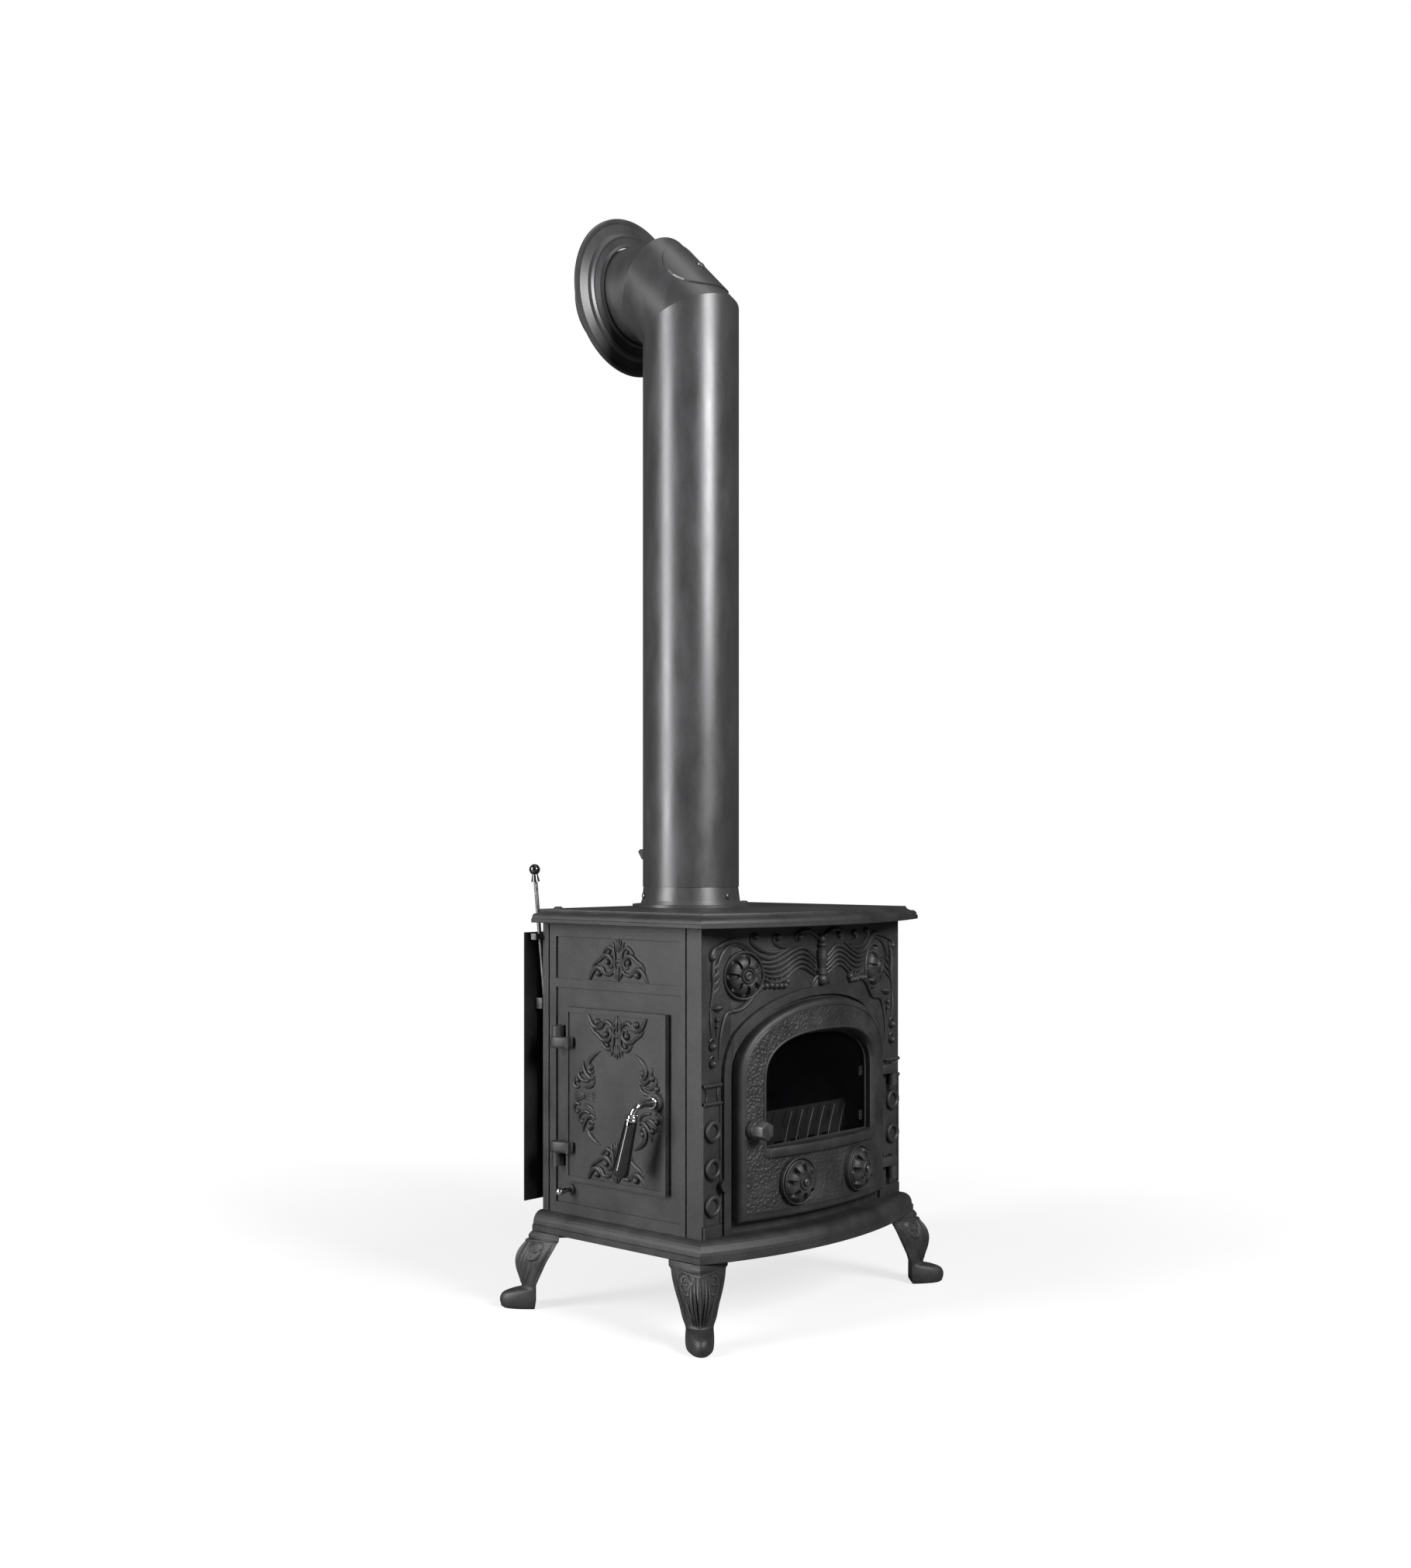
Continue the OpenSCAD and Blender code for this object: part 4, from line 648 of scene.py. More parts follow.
def between(a, b, t):
    return [(p[0] + (q[0] - p[0]) * t, p[1] + (q[1] - p[1]) * t) for p, q in zip(a, b)]


def bowed(line, height):
    """A line in mm laid on the door's bow at that height"""
    return [on_door(x * MM, z * MM, height * MM) for x, z in line]


def upright(line, y):
    """A line in mm laid on the upright plane at y"""
    return [Vector((x * MM, y, z * MM)) for x, z in line]


# Inset at the sides, inset at the foot and height of the door's section, from its landing to its field
DOOR_EDGE = (
    (5, 5, -8), (5, 5, -17), (1, 1, -17), (0, 0, -16), (0, 0, -7), (0.4, 0.4, -4.4), (1.6, 1.6, -2.2),
    (3.6, 3.6, -0.8), (6, 6.5, -0.2), (8, 11.5, 0), (8.7, 12.6, 0.9), (9.8, 13.8, 0.9), (10.6, 14.8, -0.5),
)
# Outset and height of the bead round the window
WINDOW_BEAD = ((11.8, -0.5), (11.2, 0.7), (10, 1.5), (8.8, 1.4), (7.8, 0.4), (7.2, -0.8))
# The window's bevel in the door, and how far the glass's landing reaches outside the opening
BEVEL_OUT, LANDING_OUT = 2.6, 16
# Height and reach of the sill under the window, and its half length
SILL = ((244.6, -1), (245.2, 4.4), (246.2, 5.2), (257, 6.4), (258.8, 5.6), (259, -9), (254, -9))
SILL_HALF = 127
# Door's half of a hinge: its eye's length, and the strap to the door's edge as seen from above
EYE_LENGTH = 14.7
EYE_STRAP = ((166, -186.5), (200, -188), (200, -178), (166, -178))

# Turned pieces: radius and height in mm
ROSETTE = (
    (34.8, -2), (34.8, 4.6), (34.2, 6), (33, 6.6), (31.8, 6.2), (31, 4.8), (30.6, 2.4), (28.9, 2.4),
    (28.6, 6.4), (27.8, 9.4), (26, 12), (23.4, 14.2), (20, 15.8), (16.5, 16.6), (13.5, 16.8), (12, 16.2),
    (11.4, 15), (10.9, 16.6), (10, 17.8), (8.8, 17.8), (7.8, 16), (7, 15.6), (6.4, 17.2), (5.2, 18.4),
    (3, 18.6), (1.6, 17.8), (0, 17.5),
)
AIR_DISC = (
    (3.2, 5.4), (30, 5.4), (30, 6.8), (29.3, 7.6), (28.7, 7.8), (28.3, 9.6), (27.2, 12), (25, 14.6),
    (22, 16.8), (18.5, 18.2), (15, 18.8), (12.6, 18.7), (11.6, 17.4), (11, 19), (10, 20.2), (8.8, 20.2),
    (7.8, 18.4), (3.2, 18.2), (3.2, 5.4),
)
STRIP_RING = (
    (7.6, 1.8), (8, 4.2), (8.8, 5.8), (10.2, 6.9), (12, 7.3), (13.8, 6.8), (15, 5.2), (15.6, 2.6),
    (15.6, -1),
)
DISC_BOSS = ((34, -3), (34, 5), (33.5, 6.3), (32.5, 6.8), (31.6, 6.3), (31, 5), (30.8, 3), (0, 3))
LATCH_BOSS = ((14, -8), (14, -0.8), (13.2, 0), (0, 0))
EYE = ((4, 0), (6.8, 0), (7.5, 0.8), (7.5, 13.9), (6.8, EYE_LENGTH), (4, EYE_LENGTH))
LATCH_COLLAR = ((0, -44), (5, -44), (5, 0), (12.2, 0), (13, 0.8), (13, 3.8), (11.8, 5), (0, 5))
HUB = ((0, -21), (5, -21), (5, 6), (8.6, 6.4), (9.2, 7.4), (9.2, 10), (8.4, 11), (0, 11))
FERRULE = (
    (5.1, 0), (6.6, 0.2), (7.8, 1.2), (8.4, 2.8), (8.2, 4.2), (7.6, 5), (8.6, 5.8), (9.2, 7.2), (9.2, 8.6),
    (8.6, 9.4), (5.1, 9.4),
)
GRIP = (
    (0, 0), (8.2, 0), (8.8, 0.8), (9.1, 8), (9.9, 28), (11.1, 52), (12, 70), (12.3, 76), (12.1, 79.6),
    (11, 81.6), (9, 82), (0, 81.6),
)

# The U-shaped notches of a rosette or disc: how many, their half width, where the middle of their round end
# stands on the radius, and the rim's radius
NOTCHES = 8
NOTCH_HALF = 3.4
NOTCH_START = 19.5
NOTCH_END = 29.8
# Heights of their floors in a rosette and in a disc
ROSETTE_FLOOR, DISC_FLOOR = 4.5, 8.6


def petals(verts, floor):
    """Cuts the notches into a turned dome, down to that height in mm"""
    half_turn = math.pi / NOTCHES
    for vert in verts:
        r = math.hypot(vert.co.x, vert.co.y) / MM
        a = (math.atan2(vert.co.y, vert.co.x) + half_turn) % (2 * half_turn) - half_turn
        along, aside = r * math.cos(a), abs(r * math.sin(a))
        away = aside if along > NOTCH_START else math.hypot(NOTCH_START - along, aside)
        cut = max(0, min(1, NOTCH_HALF - away + 0.5))
        if NOTCH_END > r > NOTCH_START - NOTCH_HALF - 1 and vert.co.z > floor * MM:
            vert.co.z += (floor * MM - vert.co.z) * cut


class STOVE_OT_front_door(Step, bpy.types.Operator):
    """Casts the front door: rolled edge, hammered field, beaded and bevelled window, sill, lugs, bosses"""

    bl_idname = "stove.front_door"
    bl_label = "Front door"

    def execute(self, context):
        bm = bmesh.new()
        rings = [ring(bm, bowed(inset(DOOR, side, foot), height)) for side, foot, height in DOOR_EDGE]
        side, foot, field_height = DOOR_EDGE[-1]
        edge, bead = inset(DOOR, side, foot), window_line(WINDOW_BEAD[0][0])
        first, cuts = len(rings) - 1, 6
        rings += [ring(bm, bowed(between(edge, bead, i / cuts), field_height)) for i in range(1, cuts)]
        rings += [ring(bm, bowed(window_line(out), height)) for out, height in WINDOW_BEAD]
        rings += [ring(bm, upright(window_line(BEVEL_OUT), y)) for y in (WINDOW_Y, GLASS_Y)]
        rings.append(ring(bm, upright(window_line(LANDING_OUT), GLASS_Y)))
        rings += [ring(bm, bowed(window_line(LANDING_OUT), DOOR_EDGE[0][2])), rings[0]]
        bands = skinned(bm, rings)
        for face in sum(bands[first:first + cuts], []):
            face.material_index = 1
        self.sill(bm)
        for z in HINGE_Z:
            self.lug(bm, z)
        for x in (-DISC_X, DISC_X):
            turned(bm, DISC_BOSS, on_bow(x, DISC_Z, DOOR_R))
        turned(bm, LATCH_BOSS, facing(LATCH_SEAT, (0, -1, 0)))
        door = settle("front_door_casting", bm, "front_door", "door_iron")
        door.data.materials.append(bpy.data.materials["hammered_iron"])
        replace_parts(door, "front_door")
        return {"FINISHED"}

    def sill(self, bm):
        """A wedge-shaped ledge under the window, its ends mitred"""
        cuts = 16
        rings = []
        for i in range(cuts + 1):
            t = 2 * i / cuts - 1
            rings.append(ring(bm, [
                on_door(t * (SILL_HALF - (height if abs(t) == 1 else 0)) * MM, z * MM, height * MM)
                for z, height in SILL
            ]))
        closed(bm, rings)

    def lug(self, bm, z):
        """The door's half of a hinge: an eye and the strap that joins it to the edge"""
        turned(bm, EYE, Matrix.Translation((HINGE_X, HINGE_Y, z * MM)), steps=32)
        levels = (z, z + EYE_LENGTH)
        ends = [ring(bm, [Vector((x, y, level)) * MM for x, y in EYE_STRAP]) for level in levels]
        edges = {edge for face in closed(bm, ends) for edge in face.edges}
        rounded(bm, list(edges), offset=0.0012, segments=2)


class STOVE_OT_turned_parts(Step, bpy.types.Operator):
    """Makes the rosettes, the air discs, the rings of the corner strips and the hexagonal latch"""

    bl_idname = "stove.turned_parts"
    bl_label = "Turned parts"

    def execute(self, context):
        for side, name in ((-1, "left"), (1, "right")):
            seat = on_bow(side * ROSETTE_X, ROSETTE_Z, PLATE_R)
            self.flower(name + "_rosette", ROSETTE, ROSETTE_FLOOR, seat, "stove")
            body = "air_spinner_" + name
            seat = on_bow(side * DISC_X, DISC_Z, DOOR_R)
            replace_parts(self.flower(name + "_air_disc", AIR_DISC, DISC_FLOOR, seat, body), body)
        self.rings()
        self.latch()
        return {"FINISHED"}

    def flower(self, name, profile, floor, seat, body):
        """A turned dome with petals, on its seat"""
        bm = bmesh.new()
        petals(turned(bm, profile, steps=96), floor)
        bmesh.ops.transform(bm, matrix=seat, verts=bm.verts)
        return settle(name, bm, body)

    def rings(self):
        """Rounds the rims of the corner strips' rings; the lower hinge has the place of one on the right"""
        bm = bmesh.new()
        for x, z in [(-RING_X, z) for z in RING_Z] + [(RING_X, z) for z in RING_Z[1:]]:
            turned(bm, STRIP_RING, facing((x, PLATE_Y, z), (0, -1, 0)))
        settle("strip_rings", bm)

    def latch(self):
        """A turned collar, a shaft and a hexagonal prism with rounded edges"""
        bm = bmesh.new()
        seat = facing(LATCH_FOOT, (0, -1, 0))
        turned(bm, LATCH_COLLAR, seat)
        collar = set(bm.verts)
        prism_foot, length, corner = 0.003, 0.0195, 0.0135
        bmesh.ops.create_cone(
            bm, cap_ends=True, segments=6, radius1=corner, radius2=corner, depth=length,
            matrix=seat @ Matrix.Translation((0, 0, prism_foot + length / 2)),
        )
        prism = [edge for edge in bm.edges if edge.verts[0] not in collar]
        rounded(bm, prism, offset=0.0011, segments=3)
        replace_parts(settle("latch_prism", bm, "latch", "bright", "smooth_iron_painted_highlight"), "latch_knob")


# A hinge strap seen from above: from the side door's face, round the pin
STRAP = (
    (-237.8, 78.5), (-240.4, 80.5), (-244, 86), (-248, 94), (-250.4, 101), (-250.8, 106.5), (-249.4, 111.2),
    (-246.2, 114.2), (-242.5, 114.9), (-238.4, 113.8), (-235.8, 111.6),
)
# Its section: how far out of the middle of its thickness, and up from its foot
STRAP_SECTION = ((1.4, 0), (2.2, 1), (2.7, 4), (2.9, 8), (2.7, 12), (2.2, 15), (1.4, 16), (-2, 16), (-2, 0))
# Feet of the upper and the lower strap
STRAP_FEET = (388, 234.3)


def beside(way):
    """The level direction a quarter turn to the left of that one"""
    return Vector((-way.y, way.x, 0))


class STOVE_OT_side_straps(Step, bpy.types.Operator):
    """Bends the two straps that carry the side door round their pins"""

    bl_idname = "stove.side_straps"
    bl_label = "Side straps"

    def execute(self, context):
        bm = bmesh.new()
        for foot in STRAP_FEET:
            rings = []
            for i, at in enumerate(STRAP):
                before, after = STRAP[max(0, i - 1)], STRAP[min(len(STRAP) - 1, i + 1)]
                out = beside(Vector((after[0] - before[0], after[1] - before[1], 0)).normalized())
                rings.append(ring(bm, [(Vector((*at, foot + z)) + out * d) * MM for d, z in STRAP_SECTION]))
            closed(bm, rings)
        settle("side_straps", bm, "side_door", "door_iron")
        return {"FINISHED"}


# The side door's handle, in metres: its hub, the ferrule's foot, how far along it the grip starts, and how
# far both lean from upright; the arm goes from hub to ferrule through (x, y, z, radius) in mm
HUB_AT = (-0.2375, -0.089, 0.325)
ARM = (
    (-246, -89, 325, 7.6), (-253, -89, 325.2, 6), (-262, -89, 325.4, 4.7), (-271, -88.6, 324, 4.5),
    (-278, -87.2, 319, 4.5), (-281, -85.4, 312.5, 4.5), (-281, -83.4, 305.6, 4.5),
)
FERRULE_AT = (-0.281, -0.0854, 0.3125)
GRIP_FROM_FERRULE = 0.00905
GRIP_LEAN = math.radians(16)


class STOVE_OT_side_handle(Step, bpy.types.Operator):
    """Makes the side door's bent arm, ferrule and tapered grip"""

    bl_idname = "stove.side_handle"
    bl_label = "Side handle"

    def execute(self, context):
        bm = bmesh.new()
        turned(bm, HUB, facing(HUB_AT, (-1, 0, 0)))
        bars(bm, [ARM], steps=10, roundness=6)
        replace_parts(settle("handle_arm", bm, "side_handle", "bright", "chrome"), "side_handle_arm")
        down = Vector((0, math.sin(GRIP_LEAN), -math.cos(GRIP_LEAN)))
        start = Vector(FERRULE_AT)
        bm = bmesh.new()
        turned(bm, FERRULE, facing(start, down, (0, 1, 0)))
        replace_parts(settle("handle_ferrule", bm, "side_handle", "bright", "chrome"), "side_handle_ferrule")
        bm = bmesh.new()
        turned(bm, GRIP, facing(start + down * GRIP_FROM_FERRULE, down, (0, 1, 0)))
        grip = settle("handle_grip", bm, "side_handle", "grip_plastic", "gloss_black")
        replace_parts(grip, "side_handle_grip")
        return {"FINISHED"}


# A leg's sections in mm: height, reach of its ridge and its back from its corner, half width and roundness
LEG = (
    (113, 0.5, -41, 41.2, 0.1), (110, 3.6, -41, 41.2, 0.1), (107, 5.4, -40.6, 41, 0.12),
    (104, 5.6, -40.2, 40.8, 0.15), (101.4, 5.4, -38.2, 38.4, 0.25), (89, 14.6, -31.4, 36.6, 0.35),
    (73, 20.8, -22.4, 32.6, 0.4), (57, 19.8, -15.4, 27.6, 0.45), (41, 16.2, -8.4, 23.6, 0.5),
    (33, 15.6, -5.4, 20.4, 0.6), (29.6, 17.5, -5, 19.6, 0.8), (27.6, 30, -5, 19.2, 0.95),
    (23, 42.5, -5, 19.4, 1), (17, 47, -5, 19.8, 1), (11, 47.8, -5, 19.8, 1), (5, 46.2, -5, 19.4, 1),
    (1.5, 43, -4.6, 18.6, 1), (0.3, 38, -4, 16.5, 1),
)
# How far a toe reaches past that corner, to the side and forwards, and from how far out the rays start that
# lay its relief, in metres
TOE_REACH = 0.0354
RAY_START = 0.2
# Where a leg stands: left (-1) or right (1), and front (-1) or back (1)
LEGS = {"front_left": (-1, -1), "front_right": (1, -1), "back_left": (-1, 1), "back_right": (1, 1)}


def smoothly(rows, steps):
    """Rows with others drawn in between them by a spline through all their numbers"""
    drawn = []
    for i in range(len(rows) - 1):
        before, a, b, after = (rows[max(0, min(len(rows) - 1, i + k))] for k in (-1, 0, 1, 2))
        for step in range(steps):
            t = step / steps
            drawn.append([
                q + t * (r - p) / 2 + t * t * (2 * p - 5 * q + 4 * r - s) / 2
                + t ** 3 * (3 * q - 3 * r + s - p) / 2
                for p, q, r, s in zip(before, a, b, after)
            ])
    return drawn + [rows[-1]]


def leg_half():
    """Left half of a leg's relief: across from its ridge, up from the floor"""
    return [
        [(-37, 104.5, 1), (-20, 101.5, 1.8), (0, 100, 2.2)],
        [(-12, 93, 1), (-16.5, 97.5, 1.8), (-23, 97, 2.4), (-26, 91.5, 2.4), (-23, 86.5, 2.2),
         (-18.5, 88, 1.8), (-19, 91.5, 1.2)],
        [(-27, 90, 1.2), (-26, 82, 2), (-22, 74.5, 2.4), (-17.5, 75.5, 2), (-17.5, 79.5, 1.2)],
        [(-6, 98, 0.8), (-8.5, 86, 2), (-7.5, 66, 2.2), (-5, 46, 1.8), (-3, 34, 0.8)],
        [(-12, 88, 0.8), (-13.5, 76, 2), (-12, 60, 2.2), (-9, 45, 1.8), (-6, 34, 0.8)],
        [(-20, 70, 0.8), (-17.5, 58, 2), (-13, 45, 1.8), (-9, 34, 0.8)],
        [(-34, 100, 0.8), (-32.5, 88, 1.6), (-29, 73, 1.6), (-24, 57, 1.6), (-20, 42, 1.4)],
    ]


def on_leg(skin, corner, out):
    """How to lay a point on a leg by a ray from outside, across from its ridge and up from the floor"""
    def place(across, up, height):
        foot = corner + beside(out) * across + Vector((0, 0, up))
        hit, point = skin.ray_cast(foot + out * RAY_START, -out)[:2]
        return (point if hit else foot) + out * height

    return place


class STOVE_OT_legs(Step, bpy.types.Operator):
    """Rounds the four knees, gives them ball toes and casts volutes and flutes on them"""

    bl_idname = "stove.legs"
    bl_label = "Legs"

    def execute(self, context):
        half = leg_half()
        ridge = [(0, 99, 1.2), (0, 82, 2.6), (0, 58, 2.4), (0, 36, 1)]
        strokes = swollen(half + mirrored(half) + [ridge], 1.15)
        height = context.scene.stove_sizes.relief
        for name, (sx, sy) in LEGS.items():
            out = Vector((sx, sy, 0)).normalized()
            low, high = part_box("leg_" + name)
            toe = (high if sx > 0 else low)[0], (high if sy > 0 else low)[1]
            corner = Vector((toe[0] - sx * TOE_REACH, toe[1] - sy * TOE_REACH, 0))
            skin = self.skin(name, corner, out)
            relief(name + "_leg_relief", strokes, on_leg(skin, corner, out), height)
        return {"FINISHED"}

    def skin(self, name, corner, out):
        """A leg's casting, bridged through its sections"""
        bm, rings, cuts = bmesh.new(), [], 32
        for z, ridge, back, half, roundness in smoothly(LEG, steps=3):
            points = []
            for i in range(cuts + 1):
                t = 2 * i / cuts - 1
                bulge = (1 - roundness) * (1 - abs(t)) + roundness * math.cos(math.pi / 2 * t)
                across = half * ((1 - roundness) * t + roundness * math.sin(math.pi / 2 * t))
                local = out * (back + (ridge - back) * bulge) + beside(out) * across + Vector((0, 0, z))
                points.append(corner + local * MM)
            rings.append(ring(bm, points))
        closed(bm, rings)
        skin = settle(name + "_leg_casting", bm)
        bpy.context.view_layer.update()
        return skin


# Across, and the height there of the drapery's top and bottom strands
DRAPERY = (
    (-126, 520.5, 504), (-113, 518.5, 494), (-96, 520, 490), (-78, 526.6, 494), (-61, 534, 505),
    (-46, 537.5, 510), (-33, 536, 507), (-23, 529.5, 502), (-12, 521, 496),
)
STRANDS = 5


def plate_half():
    """Left half of the front plate's carving"""
    strokes = [
        # Great scroll from the corner over the rosette to the drapery
        [(-209, 524, 2.5), (-213, 532, 4.6), (-208, 540, 4), (-200, 543, 3), (-185, 548, 3.6),
         (-165, 550, 4.4), (-147, 544, 4.6), (-133, 533.5, 4.2), (-120, 527, 4), (-108, 525, 3.6),
         (-95, 527, 3.2), (-82, 532, 2.4), (-66, 540, 2)],
        ball(-211, 530, 5.6),
        [(-201, 505, 1.4), (-197, 522, 2.4), (-188, 536, 2.8), (-176, 543, 2.4), (-165, 545, 2.2),
         (-155, 543, 2.2), (-145, 536, 2.2), (-135, 529, 2), (-122, 523, 1.8), (-112, 521, 1.2)],
        # Stem down the corner and its feathers
        [(-205, 536, 2), (-209, 520, 3.2), (-210, 505, 3.4), (-209, 490, 3), (-211, 476, 2.6),
         (-214, 462, 1.6)],
        [(-208, 512, 1.6), (-201, 518, 2.6), (-195, 524, 1.2)],
        [(-208, 501, 1.6), (-201, 507, 2.6), (-194, 513, 1.2)],
        [(-208, 490, 1.6), (-201, 496, 2.6), (-194, 502, 1.2)],
        [(-209, 479, 1.6), (-202, 485, 2.6), (-195, 491, 1.2)],
        leaf(-198, 460, 12, 6, 6),
        leaf(-198, 462.6, 11, 2.2, 6),
        [(-214, 456, 1.2), (-214, 440, 2.4), (-212, 424, 1.6), (-210, 414, 1)],
        # Branch under the rosette
        [(-120, 484, 4), (-132, 477, 4.4), (-142, 466, 4.4), (-151, 458, 4), (-162, 453.5, 3.6),
         (-174, 452, 3.2), (-182, 449, 3), (-187, 441, 2.6), (-190, 432, 2.4), (-193, 422, 2.2),
         (-195, 408, 2), (-196, 386, 1.2)],
        ball(-201, 443, 4.2),
        ball(-201, 433.5, 3.6),
        [(-201, 440, 1), (-201, 428, 1.8), (-201, 419, 0.8)],
        ball(-211.5, 407, 6.2),
        ball(-211, 383, 6),
        *([(-216, z, 1.4), (-211, z + 3, 2.2), (-206, z, 1.4)] for z in (414, 390)),
        # Volutes along the top
        ball(-90, 554, 5.2),
        [(-95, 559, 1.6), (-98, 550, 2.8), (-91, 543, 3.2), (-76, 540.5, 3), (-60, 541, 1.6)],
        ball(-130, 556.5, 5),
        [(-136, 560, 1.6), (-138, 551, 2.8), (-131, 543, 3.4), (-117, 535.5, 3.2), (-98, 533, 2.8),
         (-80, 535, 1.6)],
        ball(-47.5, 553, 5.2),
        [(-51, 546, 1.6), (-55, 554, 2.8), (-47, 560, 3.4), (-31, 562, 3.4), (-18, 558, 3.2),
         (-8, 551, 2.8), (0, 546, 1.6)],
    ]
    for k in range(STRANDS):
        strand = [(x, top + (low - top) * k / (STRANDS - 1)) for x, top, low in DRAPERY]
        strokes.append([(x, z, 3.1 if -120 < x < -20 else 2) for x, z in strand])
    # Borders, ledges and braces of the corner strip
    strokes += [[(x, 160, 1.8), (x, 245, 1.8), (x, 326, 1.8)] for x in (-229.4, -192.6)]
    strokes += [[(-230, z, 3.2), (-211, z, 3.2), (-192, z, 3.2)] for z in (327.5, 352.5)]
    brace = [[(-224, 331, 1.8), (-222, 340, 1.8), (-224, 349, 1.8)]]
    strokes += brace + mirrored(brace, -211)
    # Beads of the fringe and the curl at their end
    for i in range(6):
        x = -122 + 8.8 * i
        strokes.append(ball(x, 485.5 + (0.5 if i < 3 else -0.1) * i, 5.2))
        strokes.append([(x + 2, 489, 1.8), (x + 3, 495, 2.2), (x + 4, 500, 1)])
    strokes.append(ball(-75, 490.5, 6))
    return strokes


class STOVE_OT_front_carving(Step, bpy.types.Operator):
    """Casts the scrolls, drapery and drops on the front plate"""

    bl_idname = "stove.front_carving"
    bl_label = "Front carving"

    def execute(self, context):
        half = plate_half()
        middle = [
            # Foot shell and its ribs under the turned drop
            [(-21, 480, 1.8), (-18, 488, 2.6), (-10, 494, 3), (0, 496, 3.2), (10, 494, 3), (18, 488, 2.6),
             (21, 480, 1.8)],
            [(-21, 479.5, 2), (0, 479, 2.6), (21, 479.5, 2)],
        ]
        middle += [[(1.8 * k, 494, 1.6), (3.6 * k, 487, 2.8), (5.2 * k, 480, 1.8)] for k in range(-3, 4)]
        strokes = half + mirrored(half) + middle
        relief("front_carving", strokes, on_plate, context.scene.stove_sizes.relief)
        return {"FINISHED"}


# Height of the relief on the sides, as a share of that on the front
SIDE_RELIEF = 0.8
# Middle line of a side, middle height of its sprays and foot of its crest, and how far the lower field's
# standing and hanging crests are moved down
SIDE_MIDDLE, SPRAY_MIDDLE, CREST_FOOT = 67, 320, 490
STANDING_DROP, HANGING_DROP = 290, 50


def crest_half():
    """Left half of a side crest: u from 8 to 67, feet at 490, crown at 549"""
    return [
        [(8, 488, 1.4), (11, 494, 2.8), (15, 501, 3.4), (20, 506, 3.6), (27, 508, 3.4), (33, 505, 3),
         (36, 500, 2.6)],
        ball(28, 500, 5),
        [(14, 507, 1.6), (20, 514, 2.8), (29, 519, 3), (38, 525, 3.4), (46, 526, 3.6), (53, 522, 3.4),
         (56, 515, 2.8), (52, 509, 2.2), (46, 510, 1.6)],
        ball(46, 517, 4.4),
        [(30, 511, 1.6), (37, 506, 2.8), (41, 500, 3), (48, 499, 3.2), (56, 503, 2.6), (61, 509, 1.6)],
        [(36, 529, 1.6), (42, 535, 2.6), (49, 538, 3), (56, 535, 2.4), (58, 530, 1.4)],
        ball(49, 532, 3.2),
        [(56, 541, 1.4), (59, 532, 2.8), (60, 522, 2.8), (60, 512, 2.2), (64, 503, 1.4)],
        [(58, 530, 1.2), (58, 540, 2.6), (55, 547, 1)],
        [(63, 532, 1.2), (63, 542, 2.6), (61.5, 549, 1)],
        [(60, 508, 1.4), (61, 500, 2.8), (64, 492, 1)],
    ]


def crest():
    """A side crest about its middle line"""
    half = crest_half()
    return swollen(half + mirrored(half, SIDE_MIDDLE) + [
        [(67, 531, 1.2), (67, 543, 3), (67, 552, 1)],
        [(60, 516, 1.6), (67, 519, 3), (74, 516, 1.6)],
        [(67, 512, 1.6), (67, 500, 3.8), (67, 488, 1)],
    ], 1.1)


def side_spray():
    """The ornament at a side's edge: a palmette between two leafy ends, from u = -22 to 33"""
    upper = [
        [(33, 388, 1), (25, 384, 2.6), (16, 378, 3.8), (10, 370, 3.6), (9, 361, 3), (15, 355, 2.6),
         (20, 359, 1.8)],
        ball(14, 363, 4.8),
        [(-2, 372, 1.4), (-1, 364, 2.8), (3, 356, 3.2), (9, 350, 3), (17, 347, 2.4), (22, 351, 1.6)],
        ball(-3, 357, 4.2),
        [(-10, 358, 1.4), (-10, 350, 2.6), (-4, 344, 2.8), (5, 342, 2.6), (12, 344, 1.6)],
        ball(-12, 343, 4),
        [(22, 346, 1.4), (18, 338, 2.6), (10, 334, 2.6), (0, 333, 1.6)],
        [(-19, 346, 1.4), (-21, 338, 2.8), (-16, 332, 2.8), (-9, 333, 1.6)],
    ]
    lower = shifted(upper, flip=SPRAY_MIDDLE)
    rays = []
    for k in range(-2, 3):
        short = 2 * abs(k)
        rays.append([(25 - short, 3.8 * k, 0.8), (13, 1.8 * k, 1.8), (3, k, 1.4)])
        rays.append([(1, 1.2 * k, 1.4), (-9, 2.8 * k, 1.9), (short - 22, 5 * k, 0.8)])
    return swollen(upper + lower, 1.1) + shifted(rays, up=SPRAY_MIDDLE)


def side_field():
    """All of a side's lower field: crest, hanging crest and two sprays"""
    spray = side_spray()
    standing = shifted(crest(), up=-STANDING_DROP)
    hanging = shifted(crest(), flip=CREST_FOOT, up=-HANGING_DROP)
    return standing + hanging + spray + mirrored(spray, SIDE_MIDDLE)


class STOVE_OT_side_carving(Step, bpy.types.Operator):
    """Casts the crests and sprays on both sides and on the side door"""

    bl_idname = "stove.side_carving"
    bl_label = "Side carving"

    def execute(self, context):
        height = SIDE_RELIEF * context.scene.stove_sizes.relief
        on_left, on_right = on_side(SIDE_FLOOR_X), on_side(SIDE_FLOOR_X, 1)
        relief("left_crest", crest(), on_left, height)
        relief("right_crest", crest(), on_right, height)
        relief("right_field_carving", side_field(), on_right, height)
        forward = shifted(side_field(), across=4)
        relief("side_door_carving", forward, on_side(SIDE_DOOR_X), height, "side_door", "door_iron")
        return {"FINISHED"}


# ---- Stage ----

